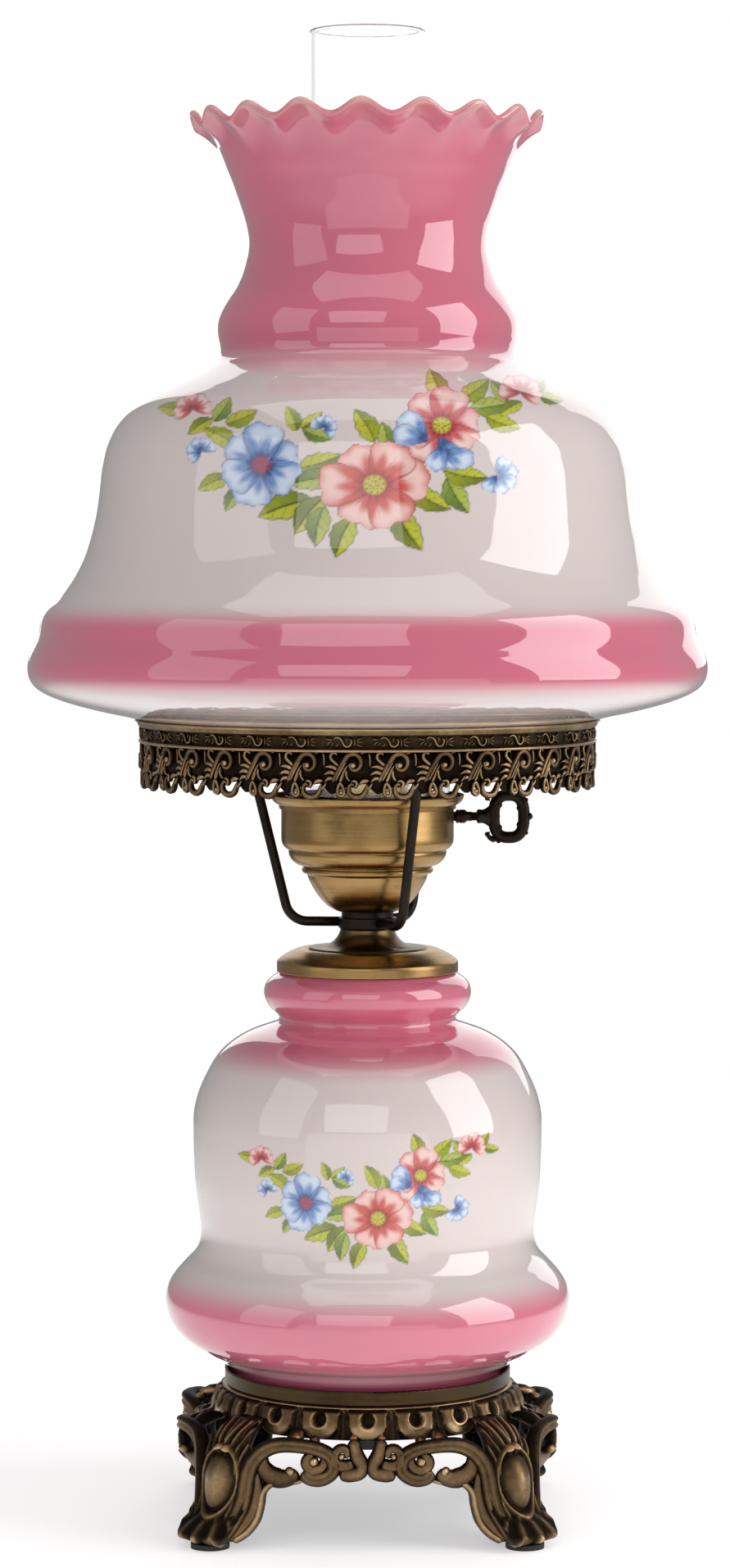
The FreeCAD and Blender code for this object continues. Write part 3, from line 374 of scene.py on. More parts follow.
def plain(name, colour, rough, metal=0.0, scale=120.0, change=0.12, bump=0.15, **extra):
    """A moulded, rolled or rubber surface with small changes of tone and texture."""
    n = Nodes(name)
    place = n.where()
    cloud = n.noise(place, scale, 5.0)
    darker = tuple(c * (1 - change) for c in colour)
    lighter = tuple(min(1.0, c * (1 + change)) for c in colour)
    tint = n.ramp(cloud, (0.3, darker), (0.7, lighter))
    grain = n.noise(place, scale * 9, 3.0)
    return n.surface(
        Base__Color=tint, Metallic=metal, Roughness=n.span(grain, rough - 0.08, rough + 0.1),
        Normal=n.bump(grain, bump, 0.0002), **extra
    )


GLASS = painted_glass("fired_opal_glass")
CHIMNEY = clear_glass()
SPUN = spun_brass("spun_antique_brass")
# painted shade: a darker copy of the spun brass for the neck and the shade shelf, which sit in shadow
SPUN_PAINTED_SHADE = spun_brass("spun_brass_shadowed", (0.155, 0.10, 0.045), (0.045, 0.028, 0.013), 0.3)
# painted shadow: a still darker copy of the spun brass for the seating cup under the glass font
SEAT_PAINTED_SHADOW = spun_brass("seat_in_shade", (0.060, 0.040, 0.020), (0.020, 0.013, 0.007), 0.32)
CAST = cast_brass("cast_antique_brass")
BRONZE = dark_bronze("dark_bronze")

# ---- The painted flower spray ----


def rgb(red, green, blue):
    """A screen colour of 0 to 255 as linear light."""
    c = np.array([red, green, blue], float) / 255
    return np.where(c <= 0.04045, c / 12.92, ((c + 0.055) / 1.055) ** 2.4)


WHITE_GLASS = rgb(226, 213, 210)
PINK_GLASS = rgb(221, 116, 141)
DEEP_PINK = rgb(196, 84, 120)

ROSE = (rgb(158, 22, 24), rgb(214, 84, 74), rgb(250, 208, 200), rgb(104, 14, 22))
BLUSH = (rgb(150, 30, 42), rgb(212, 98, 98), rgb(250, 214, 208), rgb(104, 24, 38))
BLUE = (rgb(44, 56, 118), rgb(116, 152, 208), rgb(218, 230, 246), rgb(40, 48, 96))
LEAF = (rgb(92, 108, 14), rgb(164, 172, 24), rgb(214, 212, 62), rgb(40, 48, 10))
SAGE = (rgb(74, 102, 34), rgb(140, 164, 58), rgb(202, 208, 92), rgb(34, 50, 20))

# Dabs by kind and colours, in painting order. Each has its centre across and up from the main flower (mm on
# the font), its size and its turn in degrees.
SPRAY = [
    ("leaf", LEAF, [(-51, 21.5, 6.6, 165), (-43.5, 16.5, 6, 215)]),
    ("leaf", SAGE, [(-38, 21.5, 6.5, 60)]),
    ("leaf", LEAF, [(-33, 19, 7, 25), (-38.5, 13.5, 7.6, 150), (-40, 0.5, 7, 205)]),
    ("leaf", SAGE, [(-35, -4, 6, 240)]),
    ("leaf", LEAF, [(-20.5, 18.5, 6, 110), (-15.5, 18, 5.6, 40)]),
    ("leaf", SAGE, [(-14, 14, 6.2, 340)]),
    ("leaf", LEAF, [(-13.5, 6.5, 9, 20)]),
    ("leaf", SAGE, [(-15.5, 1, 9, 190)]),
    ("leaf", LEAF, [(-22, -6.5, 11.5, 200), (-16, -8.5, 10, 235)]),
    ("leaf", SAGE, [(-13.5, -11.5, 9, 260)]),
    ("leaf", LEAF, [(-7.5, -14.5, 9.5, 250), (8.5, -12.5, 10.5, 300), (14, -4, 9, 330)]),
    ("leaf", SAGE, [(20.5, -3, 9, 300)]),
    ("leaf", LEAF, [(22.5, 3, 9, 350), (-2.5, 16.5, 8.5, 120)]),
    ("leaf", SAGE, [(2.5, 13.5, 6.5, 100)]),
    ("leaf", LEAF, [(15, 28, 8.5, 105), (25, 27, 8, 40)]),
    ("leaf", SAGE, [(29, 22.5, 8.6, 10)]),
    ("leaf", LEAF, [(32, 17.5, 7.5, 340), (41, 28.5, 6, 50), (44.5, 25, 5.4, 345)]),
    ("leaf", SAGE, [(31, 26.5, 6, 120)]),
    ("leaf", LEAF, [(34, 21.5, 5.6, 215)]),
    ("bud", BLUE, [(-43, 9.5, 3.6, 120), (-12.6, 15.8, 3.2, 60)]),
    ("bud", BLUSH, [(-45.5, 21.6, 4.6, 100), (36.6, 26.2, 5.2, 80)]),
    ("bud", BLUE, [(30.4, 2.8, 4.8, 330)]),
    ("bloom", BLUSH, [(16.6, 16.6, 11, 8)]),
    ("wing", BLUE, [(10.2, 15.2, 8.6, 128), (9.6, 13.4, 7.6, 168), (18, 9.6, 8.2, 300),
        (19.8, 8, 7.4, 340), (15.8, 8.2, 6.6, 250)]),
    ("bloom", BLUE, [(-27.9, 5.6, 11.4, 20)]),
    ("bloom", ROSE, [(0, 0, 13.4, 4)]),
]


def leaf_shape(along, across, length, width):
    """How far inside (positive) a pointed leaf a place is, from its stem at along 0 to its tip."""
    t = np.clip(along / length, 0, 1)
    half = width * np.sin(np.pi * t**0.8) ** 0.85 * (1 + 0.06 * np.sin(26 * t))
    inside = half - np.abs(across)
    return np.where((along < 0) | (along > length), -1.0, inside), t


def turned(x, z, turn):
    """Places along and across a direction, turn degrees from x."""
    a = math.radians(turn)
    return x * math.cos(a) + z * math.sin(a), -x * math.sin(a) + z * math.cos(a)


def dab_leaf(colour, x, z, tones, length, turn, soft):
    along, across = turned(x, z, turn)
    along = along + length * 0.5
    across = across + 0.05 * length * np.sin(np.pi * along / length)
    inside, t = leaf_shape(along, across, length, length * 0.27)
    low, mid, high, line = tones
    side = np.where(across > 0, 1.0, 0.0)
    tone = mix(mid, high, 0.85 * side * (0.4 + 0.6 * t))
    tone = mix(tone, low, (1 - side) * (0.35 + 0.4 * np.sin(3 * t + length)))
    ribs = np.abs(np.sin((along / length * 4.5 - np.abs(across) / length * 4.0) * math.pi))
    tone = mix(tone, low, 0.55 * ease(0.30 - ribs, 0, 0.30) * ease(inside, 0, 0.05 * length))
    middle = ease(0.035 * length - np.abs(across), 0, soft) * ease(1 - t, 0.02, 0.25)
    tone = mix(tone, line, 0.9 * middle)
    tone = mix(tone, line, 0.75 * ease(0.045 * length - inside, 0, 0.04 * length))
    return mix(colour, tone, ease(inside, -soft * 0.5, soft * 0.5))


def dab_petal(colour, x, z, tones, reach, width, turn, soft, seed):
    """A broad petal with a wavy rim: deep at its root, pale in the middle, tinted and outlined at the rim."""
    along, across = turned(x, z, turn)
    spread = np.arctan2(across, np.maximum(along, 1e-6))
    edge = reach * (1 + 0.035 * np.sin(spread * 8 + seed) + 0.022 * np.sin(spread * 17 + 2 * seed))
    t = np.clip(along / edge, 0, 1.2)
    half = width * np.clip(t, 0, 1) ** 0.62 * np.sqrt(np.clip(1 - t**5, 0, 1)) * 1.12
    inside = np.where(along < 0, -1.0, np.minimum(half - np.abs(across), edge - along))
    low, mid, high, line = tones
    tone = mix(low, mid, ease(t, 0.16, 0.42))
    tone = mix(tone, high, ease(t + 0.10 * np.sin(spread * 11 + seed), 0.42, 0.74))
    vein = np.abs(np.sin(spread * 9 + seed * 0.7))
    tone = mix(tone, low, 0.50 * ease(0.30 - vein, 0, 0.26) * ease(0.80 - t, 0, 0.4))
    patchy = 0.6 + 0.4 * np.sin(spread * 5 + seed)
    tone = mix(tone, mid, 0.75 * ease(0.20 * reach - inside, 0, 0.18 * reach) * patchy)
    tone = mix(tone, mid, 0.50 * ease(across / width, 0.15, 0.95))
    tone = mix(tone, mix(line, mid, 0.15), 0.85 * ease(0.045 * reach - inside, 0, 0.045 * reach))
    return mix(colour, tone, ease(inside, -soft * 0.5, soft * 0.5))


def dab_bloom(colour, x, z, tones, size, turn, soft):
    for k in (0, 2, 4, 1, 3, 5):
        way = turn + 360.0 * k / 6 + 7 * math.sin(3.1 * k + size)
        reach = size * (0.94 + 0.09 * math.sin(2.3 * k + size))
        colour = dab_petal(colour, x, z, tones, reach, size * 0.56, way, soft, k + size)
    away = np.hypot(x, z)
    ang = np.arctan2(z, x)
    if tones is BLUE:
        heart, dots = rgb(176, 44, 60), rgb(96, 100, 150)
    else:
        heart, dots = rgb(206, 196, 60), rgb(120, 96, 30)
    rays = ease(np.sin(ang * 13 + 1) * 0.5 + 0.5, 0.35, 0.8) * ease(size * 0.40 - away, 0, size * 0.16)
    colour = mix(colour, tones[0], rays * 0.7)
    colour = mix(colour, heart, ease(size * 0.20 - away, -soft, soft))
    speck = ease(np.sin(ang * 9) * np.cos(away / size * 40), 0.15, 0.6) * ease(size * 0.24 - away, 0, soft)
    colour = mix(colour, dots, speck * 0.8)
    return colour


def paint_spray(colour, points, centre_x, centre_z, wide, tall, soft):
    """Paints the spray on a glass surface's front, seen straight on."""
    front = points[:, 1] < 0
    x = (points[:, 0] - centre_x) / wide
    z = (points[:, 2] - centre_z) / tall
    near = front & (np.abs(x) < 60) & (z > -26) & (z < 38)
    px, pz, pc = x[near], z[near], colour[near]
    soft = soft / wide
    dabs = [(kind, tones, *dab) for kind, tones, group in SPRAY for dab in group]
    for kind, tones, cx, cz, size, turn in dabs:
        dx, dz = px - cx, pz - cz
        if kind == "leaf":
            pc = dab_leaf(pc, dx, dz, tones, size * 1.25, turn, soft)
        elif kind == "wing":
            a = math.radians(turn)
            ox, oz = dx + 0.5 * size * math.cos(a), dz + 0.5 * size * math.sin(a)
            pc = dab_petal(pc, ox, oz, tones, size * 1.15, size * 0.5, turn, soft, size)
        elif kind == "bud":
            for k, way in enumerate((turn - 95, turn + 95, turn - 45, turn + 45, turn)):
                pc = dab_petal(pc, dx, dz, tones, size * 1.1, size * 0.52, way, soft, k + size)
        else:
            pc = dab_bloom(pc, dx, dz, tones, size, turn, soft)
    colour = colour.copy()
    colour[near] = pc
    return colour


# ---- Glass ----

FONT_LOW = heights("glass_font")[0]
SHADE_LOW = heights("glass_shade")[0]
CHIMNEY_LOW = heights("glass_chimney")[0]
GLASS_WALL = 3.0
INSIDE_STEP = 3.0  # between rows of points inside the glass
INSIDE_SIDES = 288


def glass_object(name, node, body, outer, angles, row_step, colour_of, spray, change=None, rolled=False):
    """A closed glass shell: a fine painted outside, and a plainer inside joined at foot and rim."""
    outside = resample(smooth(outer, 0.6), row_step)
    inside = resample(inward(smooth(outer, 0.6), GLASS_WALL), INSIDE_STEP)
    inside[0, 1] = outside[0, 1]
    if rolled:
        middle, spoke = (outside[-1] + inside[-1]) / 2, (outside[-1] - inside[-1]) / 2
        ahead = np.array([-spoke[1], spoke[0]])
        turns = np.linspace(0, math.pi, 9)[1:-1]
        lip = [middle + spoke * math.cos(a) + ahead * math.sin(a) for a in turns]
        outside = np.concatenate([outside, lip])
    else:
        inside[-1, 1] = outside[-1, 1]
    m = Mesh()
    points = round_points(outside, angles, change)
    flat = points.reshape(-1, 3)
    colour = paint_spray(colour_of(flat[:, 2], False), flat, **spray)
    first = m.grid(points, paint=colour.reshape(points.shape))
    points = round_points(inside, circle(INSIDE_SIDES), change)
    second = m.grid(points, paint=colour_of(points[..., 2], True), flip=True)
    wide, rows_out, rows_in = len(angles), len(outside), len(inside)
    for a, b, flip in ((0, 0, True), (rows_out - 1, rows_in - 1, False)):
        one = [first + a * wide + k for k in range(wide)]
        two = [second + b * INSIDE_SIDES + k for k in range(INSIDE_SIDES)]
        one = sorted(one, key=lambda i: angles[i - first - a * wide] % TAU)
        m.join_loops(one, two, flip=flip)
    m.make(name, GLASS, node, body)


def font_colour(z, inner):
    h = z - FONT_LOW
    pink = ease(h, 125.0, 137.5)
    low = ease(-h, -47.0, -34.0)
    colour = mix(WHITE_GLASS, PINK_GLASS, pink)
    colour = mix(colour, PINK_GLASS, low * 0.96)
    # painted reflection: a greyish white band low on the font, where the table shows in the glass
    colour = mix(colour, WHITE_GLASS * 0.86, 0.34 * ease(-h, -15.5, -12.5) * ease(h, 4.0, 9.0))
    colour = mix(colour, DEEP_PINK, ease(-h, -8.0, -4.0))
    # painted reflection: a thin dark line across that band
    line = np.exp(-(((h - 11.9) / 0.55) ** 2))
    return mix(colour, rgb(150, 110, 120), 0.55 * line)


def font_profile():
    b = FONT_LOW
    rises = [
        (54.4, 0), (54.4, 5), (58.6, 7.6), (61.9, 9.9), (64.4, 11.5), (68.5, 13.6), (75.9, 19), (79.4, 23.8),
        (81.1, 28.8), (81.4, 33.4), (80.2, 38.2), (77.7, 42.2), (73.6, 46.8), (69.4, 51.4), (67.5, 56),
        (67, 61), (67.5, 66), (68.3, 72), (69.3, 80), (69.8, 90), (70, 100), (69.9, 107),
        (69, 112), (67.6, 116.6), (65, 122.4), (60.8, 129.8), (56, 134.8), (48.4, 139.6), (40.4, 142.6),
        (36.2, 144.2), (35.2, 145.6), (36.2, 147.4), (38.6, 149.4), (40.9, 153), (41.6, 156.6), (40.6, 159.8),
        (37.6, 162.6), (34.9, 164.2), (34.6, 166),
    ]
    return [(r, b + h) for r, h in rises]


glass_object(
    "font_glass", "glass_font", "lamp", font_profile(), front_angles(0.86, 0.45 / 70, 0.045),
    lambda p: 0.5 if 100 < p[1] < 166 else 1.7, font_colour,
    spray=dict(centre_x=4.0, centre_z=130.4, wide=1.0, tall=1.0, soft=0.55),
)


def shade_colour(z, inner):
    h = z - SHADE_LOW
    top = ease(h, 140.0, 155.5)
    low = ease(h, 17.0, 26.5) * (1 - ease(h, 44.0, 54.0))
    colour = mix(WHITE_GLASS, PINK_GLASS, top)
    colour = mix(colour, PINK_GLASS * 0.97, low)
    colour = mix(colour, rgb(222, 150, 150), 0.55 * ease(h, 236.5, 243.0))
    colour = mix(colour, rgb(240, 205, 190), 0.55 * ease(h, 243.0, 247.0))
    if inner:
        colour = mix(WHITE_GLASS, colour, 0.55)
    return colour


def shade_profile():
    b = SHADE_LOW
    rises = [
        (88.6, 0), (88.6, 3.6), (90.4, 5.4), (97, 7.4), (106, 9.3), (116, 11.8), (122.8, 13.9), (129, 16.5),
        (132.8, 19), (135.1, 22.4), (135.8, 26.4), (135.2, 30.6), (133.6, 34.4), (131.8, 38), (130.9, 41.4),
        (130.6, 44), (129.9, 47), (127.9, 50.6), (123.9, 54.8), (120.4, 59.2), (117.2, 63.8), (114.4, 68.9),
        (112.4, 73.6), (110.9, 78.4), (109.7, 83), (108.6, 88), (107.4, 96.2), (106.4, 105.3), (105.5, 110),
        (104.4, 114.6), (102.7, 119), (100.3, 123.6), (96.8, 128.2), (91.9, 132.5), (84, 137.2), (75.5, 141.6),
        (67, 145.8), (61.4, 148.8), (59.2, 151.2), (58.9, 153.2), (59.5, 156.4), (60.1, 160.3), (59.8, 164.8),
        (58.1, 169.4), (55.6, 173.9), (52.7, 178.4), (50.4, 182.9), (48.9, 187.4), (47.8, 192), (47.5, 196),
        (48.2, 201), (49.4, 205.6), (50.9, 210.2), (52.5, 214.8), (54.1, 219.3), (56, 223.8), (57.7, 228.2),
        (59.7, 232.4), (62.2, 236.2), (65.4, 239.4), (69.4, 242),
    ]
    return [(r, b + h) for r, h in rises]


CRIMPS = 18
CRIMP_PHASE = FRONT - math.radians(2.0)


def crimp(r, z, t):
    """Soft waves pressed into the last of the rim."""
    h = z - SHADE_LOW
    much = ease(h, 214.0, 243.0) ** 1.7
    wave = np.cos(CRIMPS * (t - CRIMP_PHASE))
    return r + much * (0.9 * wave), z + much * (2.6 * wave)


glass_object(
    "shade_glass", "glass_shade", "shade", shade_profile(), front_angles(0.92, 0.60 / 106, 0.024),
    lambda p: 0.60 if 379 < p[1] < 464 else 1.1 if p[1] > 542 else 2.0, shade_colour,
    spray=dict(centre_x=2.6, centre_z=413.9, wide=1.53, tall=1.36, soft=0.7), change=crimp, rolled=True,
)


def chimney():
    b = CHIMNEY_LOW
    rises = [
        (33, 0), (33, 7), (33.6, 13), (36.4, 24), (40.2, 38), (42, 52), (42.4, 62), (41.8, 74),
        (39.6, 86), (35.8, 99), (31.4, 112), (27.6, 124), (25.2, 135), (23.7, 146), (23.1, 158),
        (23.1, 190), (23.1, 230), (23.1, 270), (23.1, 305),
    ]
    outer = resample(smooth([(r, b + h) for r, h in rises], 1.0), 2.6)
    inner = inward(outer, 1.9)
    inner[0, 1] = outer[0, 1]
    top = outer[-1, 1]
    lip = 0.95
    half_turn = np.linspace(0, math.pi, 9)
    curl = [(23.1 - lip + lip * math.cos(a), top + lip * math.sin(a) + 1.0) for a in half_turn]
    loop = np.concatenate([outer, curl, inner[::-1]])
    m = Mesh()
    m.grid(round_points(loop, circle(128)), wrap_rows=True)
    m.make("chimney_glass", CHIMNEY, "glass_chimney", "chimney")


chimney()

# ---- Ornament: swept strokes laid on a curved ground ----


def across(values, count):
    """A short list of values spread evenly over count samples."""
    values = np.atleast_1d(np.array(values, float))
    return np.interp(np.linspace(0, 1, count), np.linspace(0, 1, len(values)), values)


def stroke(points, half, deep, step=0.8, sides=10, lift=0.0, groove=0.0, closed=False):
    """A scroll as (u, v, w, wear) rows: u and v in its plane, w outwards, wear for the patina."""
    line = smooth(points, step, closed=closed)
    count = len(line)
    a, b, up = across(half, count), across(deep, count), across(lift, count)
    if not closed:
        t = np.linspace(0, 1, count) * (count - 1)
        taper = np.sqrt(np.clip(np.minimum(t, count - 1 - t) / 1.6, 0.03, 1))
        a, b = a * taper, b * taper
    if closed:
        tangent = np.roll(line, -1, axis=0) - np.roll(line, 1, axis=0)
    else:
        tangent = np.gradient(line, axis=0)
    tangent /= np.linalg.norm(tangent, axis=1)[:, None] + 1e-9
    normal = np.stack([-tangent[:, 1], tangent[:, 0]], axis=1)
    phi = circle(sides)
    side, top = np.cos(phi), np.sin(phi)
    dent = 1 - groove * np.exp(-((side / 0.33) ** 2)) * (top > 0)
    plane = line[:, None, :] + normal[:, None, :] * (a[:, None] * side)[:, :, None]
    w = up[:, None] + b[:, None] * (top * dent)
    rub = 0.08 + 0.80 * np.clip(top, 0, 1) ** 2.8 * (0.35 + 0.65 * dent**3)
    return np.stack([plane[..., 0], plane[..., 1], w, np.broadcast_to(rub, w.shape)], axis=2), closed


def ball(u, v, w, radius, rings=6, sides=10, flat=1.0):
    """A bead as the same kind of rows."""
    up = np.linspace(-math.pi / 2, math.pi / 2, rings + 1)[:, None]
    up[0], up[-1] = -1.5, 1.5
    r, top = radius * np.cos(up), np.sin(up)
    parts = (u + r * np.cos(circle(sides)), v + r * np.sin(circle(sides)), w + flat * radius * top,
        0.35 + 0.6 * np.maximum(0.0, top))
    return np.stack(np.broadcast_arrays(*parts), axis=-1), False


def lay_strokes(m, strokes, ground, flip=False):
    """Adds strokes to a mesh; ground turns u, v, w into x, y, z."""
    for rows, closed in strokes:
        u, v, w, wear = (rows[:, :, k] for k in range(4))
        m.grid(ground(u, v, w), wrap_rows=closed, paint=wear, flip=not flip, ends=not closed)


# ---- Pierced gallery ----

RING_LOW, RING_HIGH = heights("shade_gallery")
RING_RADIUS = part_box("shade_gallery")[1].x / MM
REPEATS = 32
PITCH = TAU * RING_RADIUS / REPEATS


def skirt_motif():
    """One acanthus and its hanging scrolls: u from 0 to PITCH, v up from the lower edge."""
    return [
        # the big scroll that springs from the leaf and rolls over to the right
        stroke([(4.3, 6.2), (6, 9.4), (8.2, 13.2), (10.6, 16.6), (13.2, 17), (15.1, 15.2), (15.2, 12.6),
        (13.6, 10.9), (11.6, 11.3), (11, 12.9), (12, 13.8)], [0.95, 1.35, 1.2, 0.95, 0.9], [1.2, 1.7, 1.4],
        groove=0.3, lift=0.2),
        ball(12.3, 12.7, 0.6, 1.25, flat=0.9),
        # the hook on its left
        stroke([(7.2, 12.2), (5.2, 13.8), (3.6, 15.6), (4.1, 17.3), (5.6, 17.4), (6, 16.2)],
               [0.95, 0.9, 0.6], 1.15),
        # three leaf lobes pointing down to the left
        stroke([(6.6, 11), (3.8, 12.2), (0.9, 12)], [1.15, 1.05, 0.2], [1.2, 0.9], lift=0.1),
        stroke([(6, 9.2), (3.4, 10.1), (0.7, 8.9)], [1.2, 1.1, 0.2], [1.3, 0.9], lift=0.1),
        stroke([(5.2, 7.6), (2.8, 7.7), (1, 5.9)], [1.1, 1, 0.2], [1.2, 0.9], lift=0.1),
        # the ribs of the leaf
        stroke([(5.6, 6.6), (7.4, 10.2), (9.8, 14.4)], [0.45, 0.6, 0.3], 1.5, lift=0.5),
        stroke([(7, 6.4), (8.6, 10), (10.4, 13.2)], [0.45, 0.6, 0.3], 1.3, lift=0.3),
        # stalks down to the drop
        stroke([(9.2, 12.4), (8.3, 8.6), (7, 5.6)], [0.9, 0.7, 0.6], 1.2),
        stroke([(9.6, 11.6), (9.8, 8.4), (11.2, 6.4)], [0.8, 0.7, 0.5], 1.1),
        # the drop
        stroke([(8, 0.95), (6.55, 1.7), (6.35, 3.7), (7.3, 5.9), (8.5, 4), (8.9, 1.9)], 0.8, 1.1, closed=True,
        lift=0.15),
        ball(7.7, 2.3, 0.5, 0.9, flat=0.8),
        # the hanging loop with its small inner curl and leaf
        stroke([(13, 4.6), (11.7, 5.6), (10.6, 4.2), (10.9, 1.9), (13.2, 0.55), (15.9, 1.1), (17.3, 3.2),
        (17.9, 5.8)], [0.6, 1, 1.2, 1.3, 1.15, 0.6], [0.9, 1.4, 1.5, 1], groove=0.2),
        stroke([(11.2, 6.2), (12.8, 6.8), (13.8, 5.8), (13.3, 4.5), (12.3, 4.4)], [0.8, 0.8, 0.6], 1.15),
        stroke([(18.6, 6.9), (16.2, 6.6), (14.5, 5.2)], [1.1, 1.2, 0.3], [1.2, 0.9]),
        # the tie between loop and neighbouring leaf
        stroke([(16.9, 2.8), (18.6, 4.2), (20, 6.2)], [0.6, 0.7, 0.5], 0.8),
        stroke([(14.6, 16.6), (16.3, 17.6), (18.2, 17.9)], [0.5, 0.5, 0.5], 0.7),
        stroke([(0.4, 17.9), (0.9, 15.2), (0.9, 12)], [0.6, 0.5, 0.4], 0.6, lift=-0.4),
    ]


def band_motif():
    """The rolled ribbon and leaf tips on the band above, v from 0 to 5."""
    return [
        stroke([(4.8, 3.5), (5.7, 4.3), (7.2, 4.1), (8.2, 2.9), (8.9, 1.4), (10.2, 0.8), (11.4, 1.6), (11.7, 3.2),
        (10.9, 3.9)], [0.5, 0.62, 0.5], 0.85, step=0.6, sides=8),
    ] + [
        stroke(line, half, deep, step=0.7, sides=6)
        for line, half, deep in (
            ([(6.9, 2.6), (6.2, 1.2), (5.2, 0.9)], [0.4, 0.35], 0.5),
            ([(9.6, 2.4), (9.9, 3.7), (9.2, 4.2)], [0.4, 0.3], 0.5),
            ([(1.5, 4.1), (3, 3.5), (4.5, 3.6)], [0.2, 0.5, 0.4], 0.55),
            ([(2.3, 0.8), (3, 2.2), (4.4, 2.9)], [0.2, 0.5, 0.4], 0.55),
            ([(4, 0.8), (4.4, 1.8), (4.9, 2.6)], [0.2, 0.45, 0.3], 0.5),
            ([(12.6, 4.3), (13, 2.6), (12.8, 0.8)], [0.3, 0.45, 0.3], 0.55),
            ([(13.3, 2.8), (14.6, 3.7), (16, 4.2)], [0.4, 0.5, 0.2], 0.55),
            ([(13.4, 2.5), (14.9, 2.6), (16.3, 2.5)], [0.35, 0.45, 0.2], 0.5),
            ([(13.3, 2.2), (14.5, 1.3), (16, 0.8)], [0.4, 0.5, 0.2], 0.55),
        )
    ]


def gallery():
    m = Mesh()
    skirt_top = RING_LOW + 18.1

    def ground(turn, base_z, base_r):
        def place(u, v, w):
            return polar(base_r + w, turn + u / RING_RADIUS, base_z + v)

        return place

    skirt, band = skirt_motif(), band_motif()
    for k in range(REPEATS):
        turn = TAU * k / REPEATS
        lay_strokes(m, skirt, ground(turn, RING_LOW + 0.1, RING_RADIUS - 1.5))
        lay_strokes(m, band, ground(turn, skirt_top + 1.0, RING_RADIUS - 0.65))
    sheet_angles = circle(REPEATS * 16)
    u = (sheet_angles / TAU * REPEATS % 1.0) * PITCH
    low = RING_LOW + 4.0 - 1.6 * np.cos((u - 5.4) / PITCH * TAU) + 0.9 * np.cos((u - 8.0) / PITCH * 2 * TAU)
    rows = []
    for depth, share in ((2.5, 0.0), (1.7, 0.0), (1.7, 0.5), (1.7, 1.0), (2.5, 1.0), (2.5, 0.5)):
        rows.append(polar(RING_RADIUS - depth, sheet_angles, low + (skirt_top - low) * share))
    m.grid(np.array(rows), wrap_rows=True, paint=0.13)
    rise = RING_HIGH - skirt_top
    # how far each point of the band stands out, its height above the skirt, and its wear
    band_loop = [
        (-1.9, -0.5, 0.1), (-0.1, -0.5, 0.45), (0.35, -0.1, 0.85), (0.35, 0.5, 0.8), (-0.15, 0.85, 0.35),
        (-0.8, 1, 0.34), (-0.8, 5.6, 0.34), (0.1, 5.9, 0.4), (0.5, 6.4, 0.62), (0.9, rise - 1, 0.62),
        (1.9, rise - 0.2, 0.9), (1.7, rise + 0.1, 0.8), (-0.6, rise + 0.1, 0.5), (-1.9, rise - 0.9, 0.25),
    ]
    out, up, wear = np.array(band_loop).T[:, :, None]
    angles = circle(256)
    m.grid(polar(RING_RADIUS + out, angles, skirt_top + up), wrap_rows=True, paint=wear + 0 * angles)
    m.make("gallery_filigree", CAST, "shade_gallery")


gallery()

# ---- Footed casting ----

CAST_TOP = heights("base_casting")[1]
EGGS = 20
EGG_HALF = 9.5  # half the width of one repeat
BAND_TALL = 12.0


def soft_step(x, edge, width):
    """1 inside an edge (x below it), 0 outside."""
    return ease(edge - x, -width, width)


def egg_and_dart(s, v):
    """Relief and wear of one repeat: s across from -EGG_HALF to EGG_HALF, v up from 0 to BAND_TALL."""
    x = np.abs(s)
    bowl = (x / 7.3) ** 2.6 + ((6.6 - v) / 6.1) ** 2.2 * (v < 6.6)
    cup = np.where(v < 6.3, bowl, (x / (7.3 + 0.06 * (v - 6.3))) ** 2)
    inside = soft_step(np.sqrt(cup), 1.0, 0.07) * soft_step(v, 10.6, 0.35)
    hole = np.hypot(s, (v - 7.8) * 0.92)
    slot = np.where(v > 7.6, x, 9.0)
    notch = np.maximum(soft_step(hole, 2.5, 0.35), soft_step(slot, 1.75, 0.3))
    lip = np.exp(-(((hole - 3.2) / 0.7) ** 2)) * (v < 10.6)
    body = inside * (1 - notch)
    relief = 2.3 * body * (1 - 0.16 * (x / 7.3) ** 2) + 0.3 * lip * body
    relief += 0.5 * inside * notch * soft_step(hole, 1.7, 0.6)
    d = EGG_HALF - x
    width = 0.25 + np.clip(11.0 - v, 0, 12) * 0.235
    dart = np.clip(1 - d / np.maximum(width, 0.1), 0, 1) * (v < 11.2)
    edge = np.exp(-(((d - width) / 0.35) ** 2)) * (v < 11.0)
    relief += 1.35 * dart * (1 - body) + 0.55 * edge * (1 - body)
    arch = np.hypot(d, (v - 9.4) * 0.8)
    hood = np.exp(-(((arch - 1.9) / 0.45) ** 2)) * (v > 9.2) * (v < 11.6)
    relief += 0.9 * hood
    wear = 0.10 + 0.42 * body + 0.20 * lip * body + 0.26 * dart + 0.30 * edge * (1 - body) + 0.35 * hood
    wear += 0.22 * body * np.exp(-(((v - 3.5) / 2.5) ** 2))
    return relief, np.clip(wear, 0.05, 1.0)


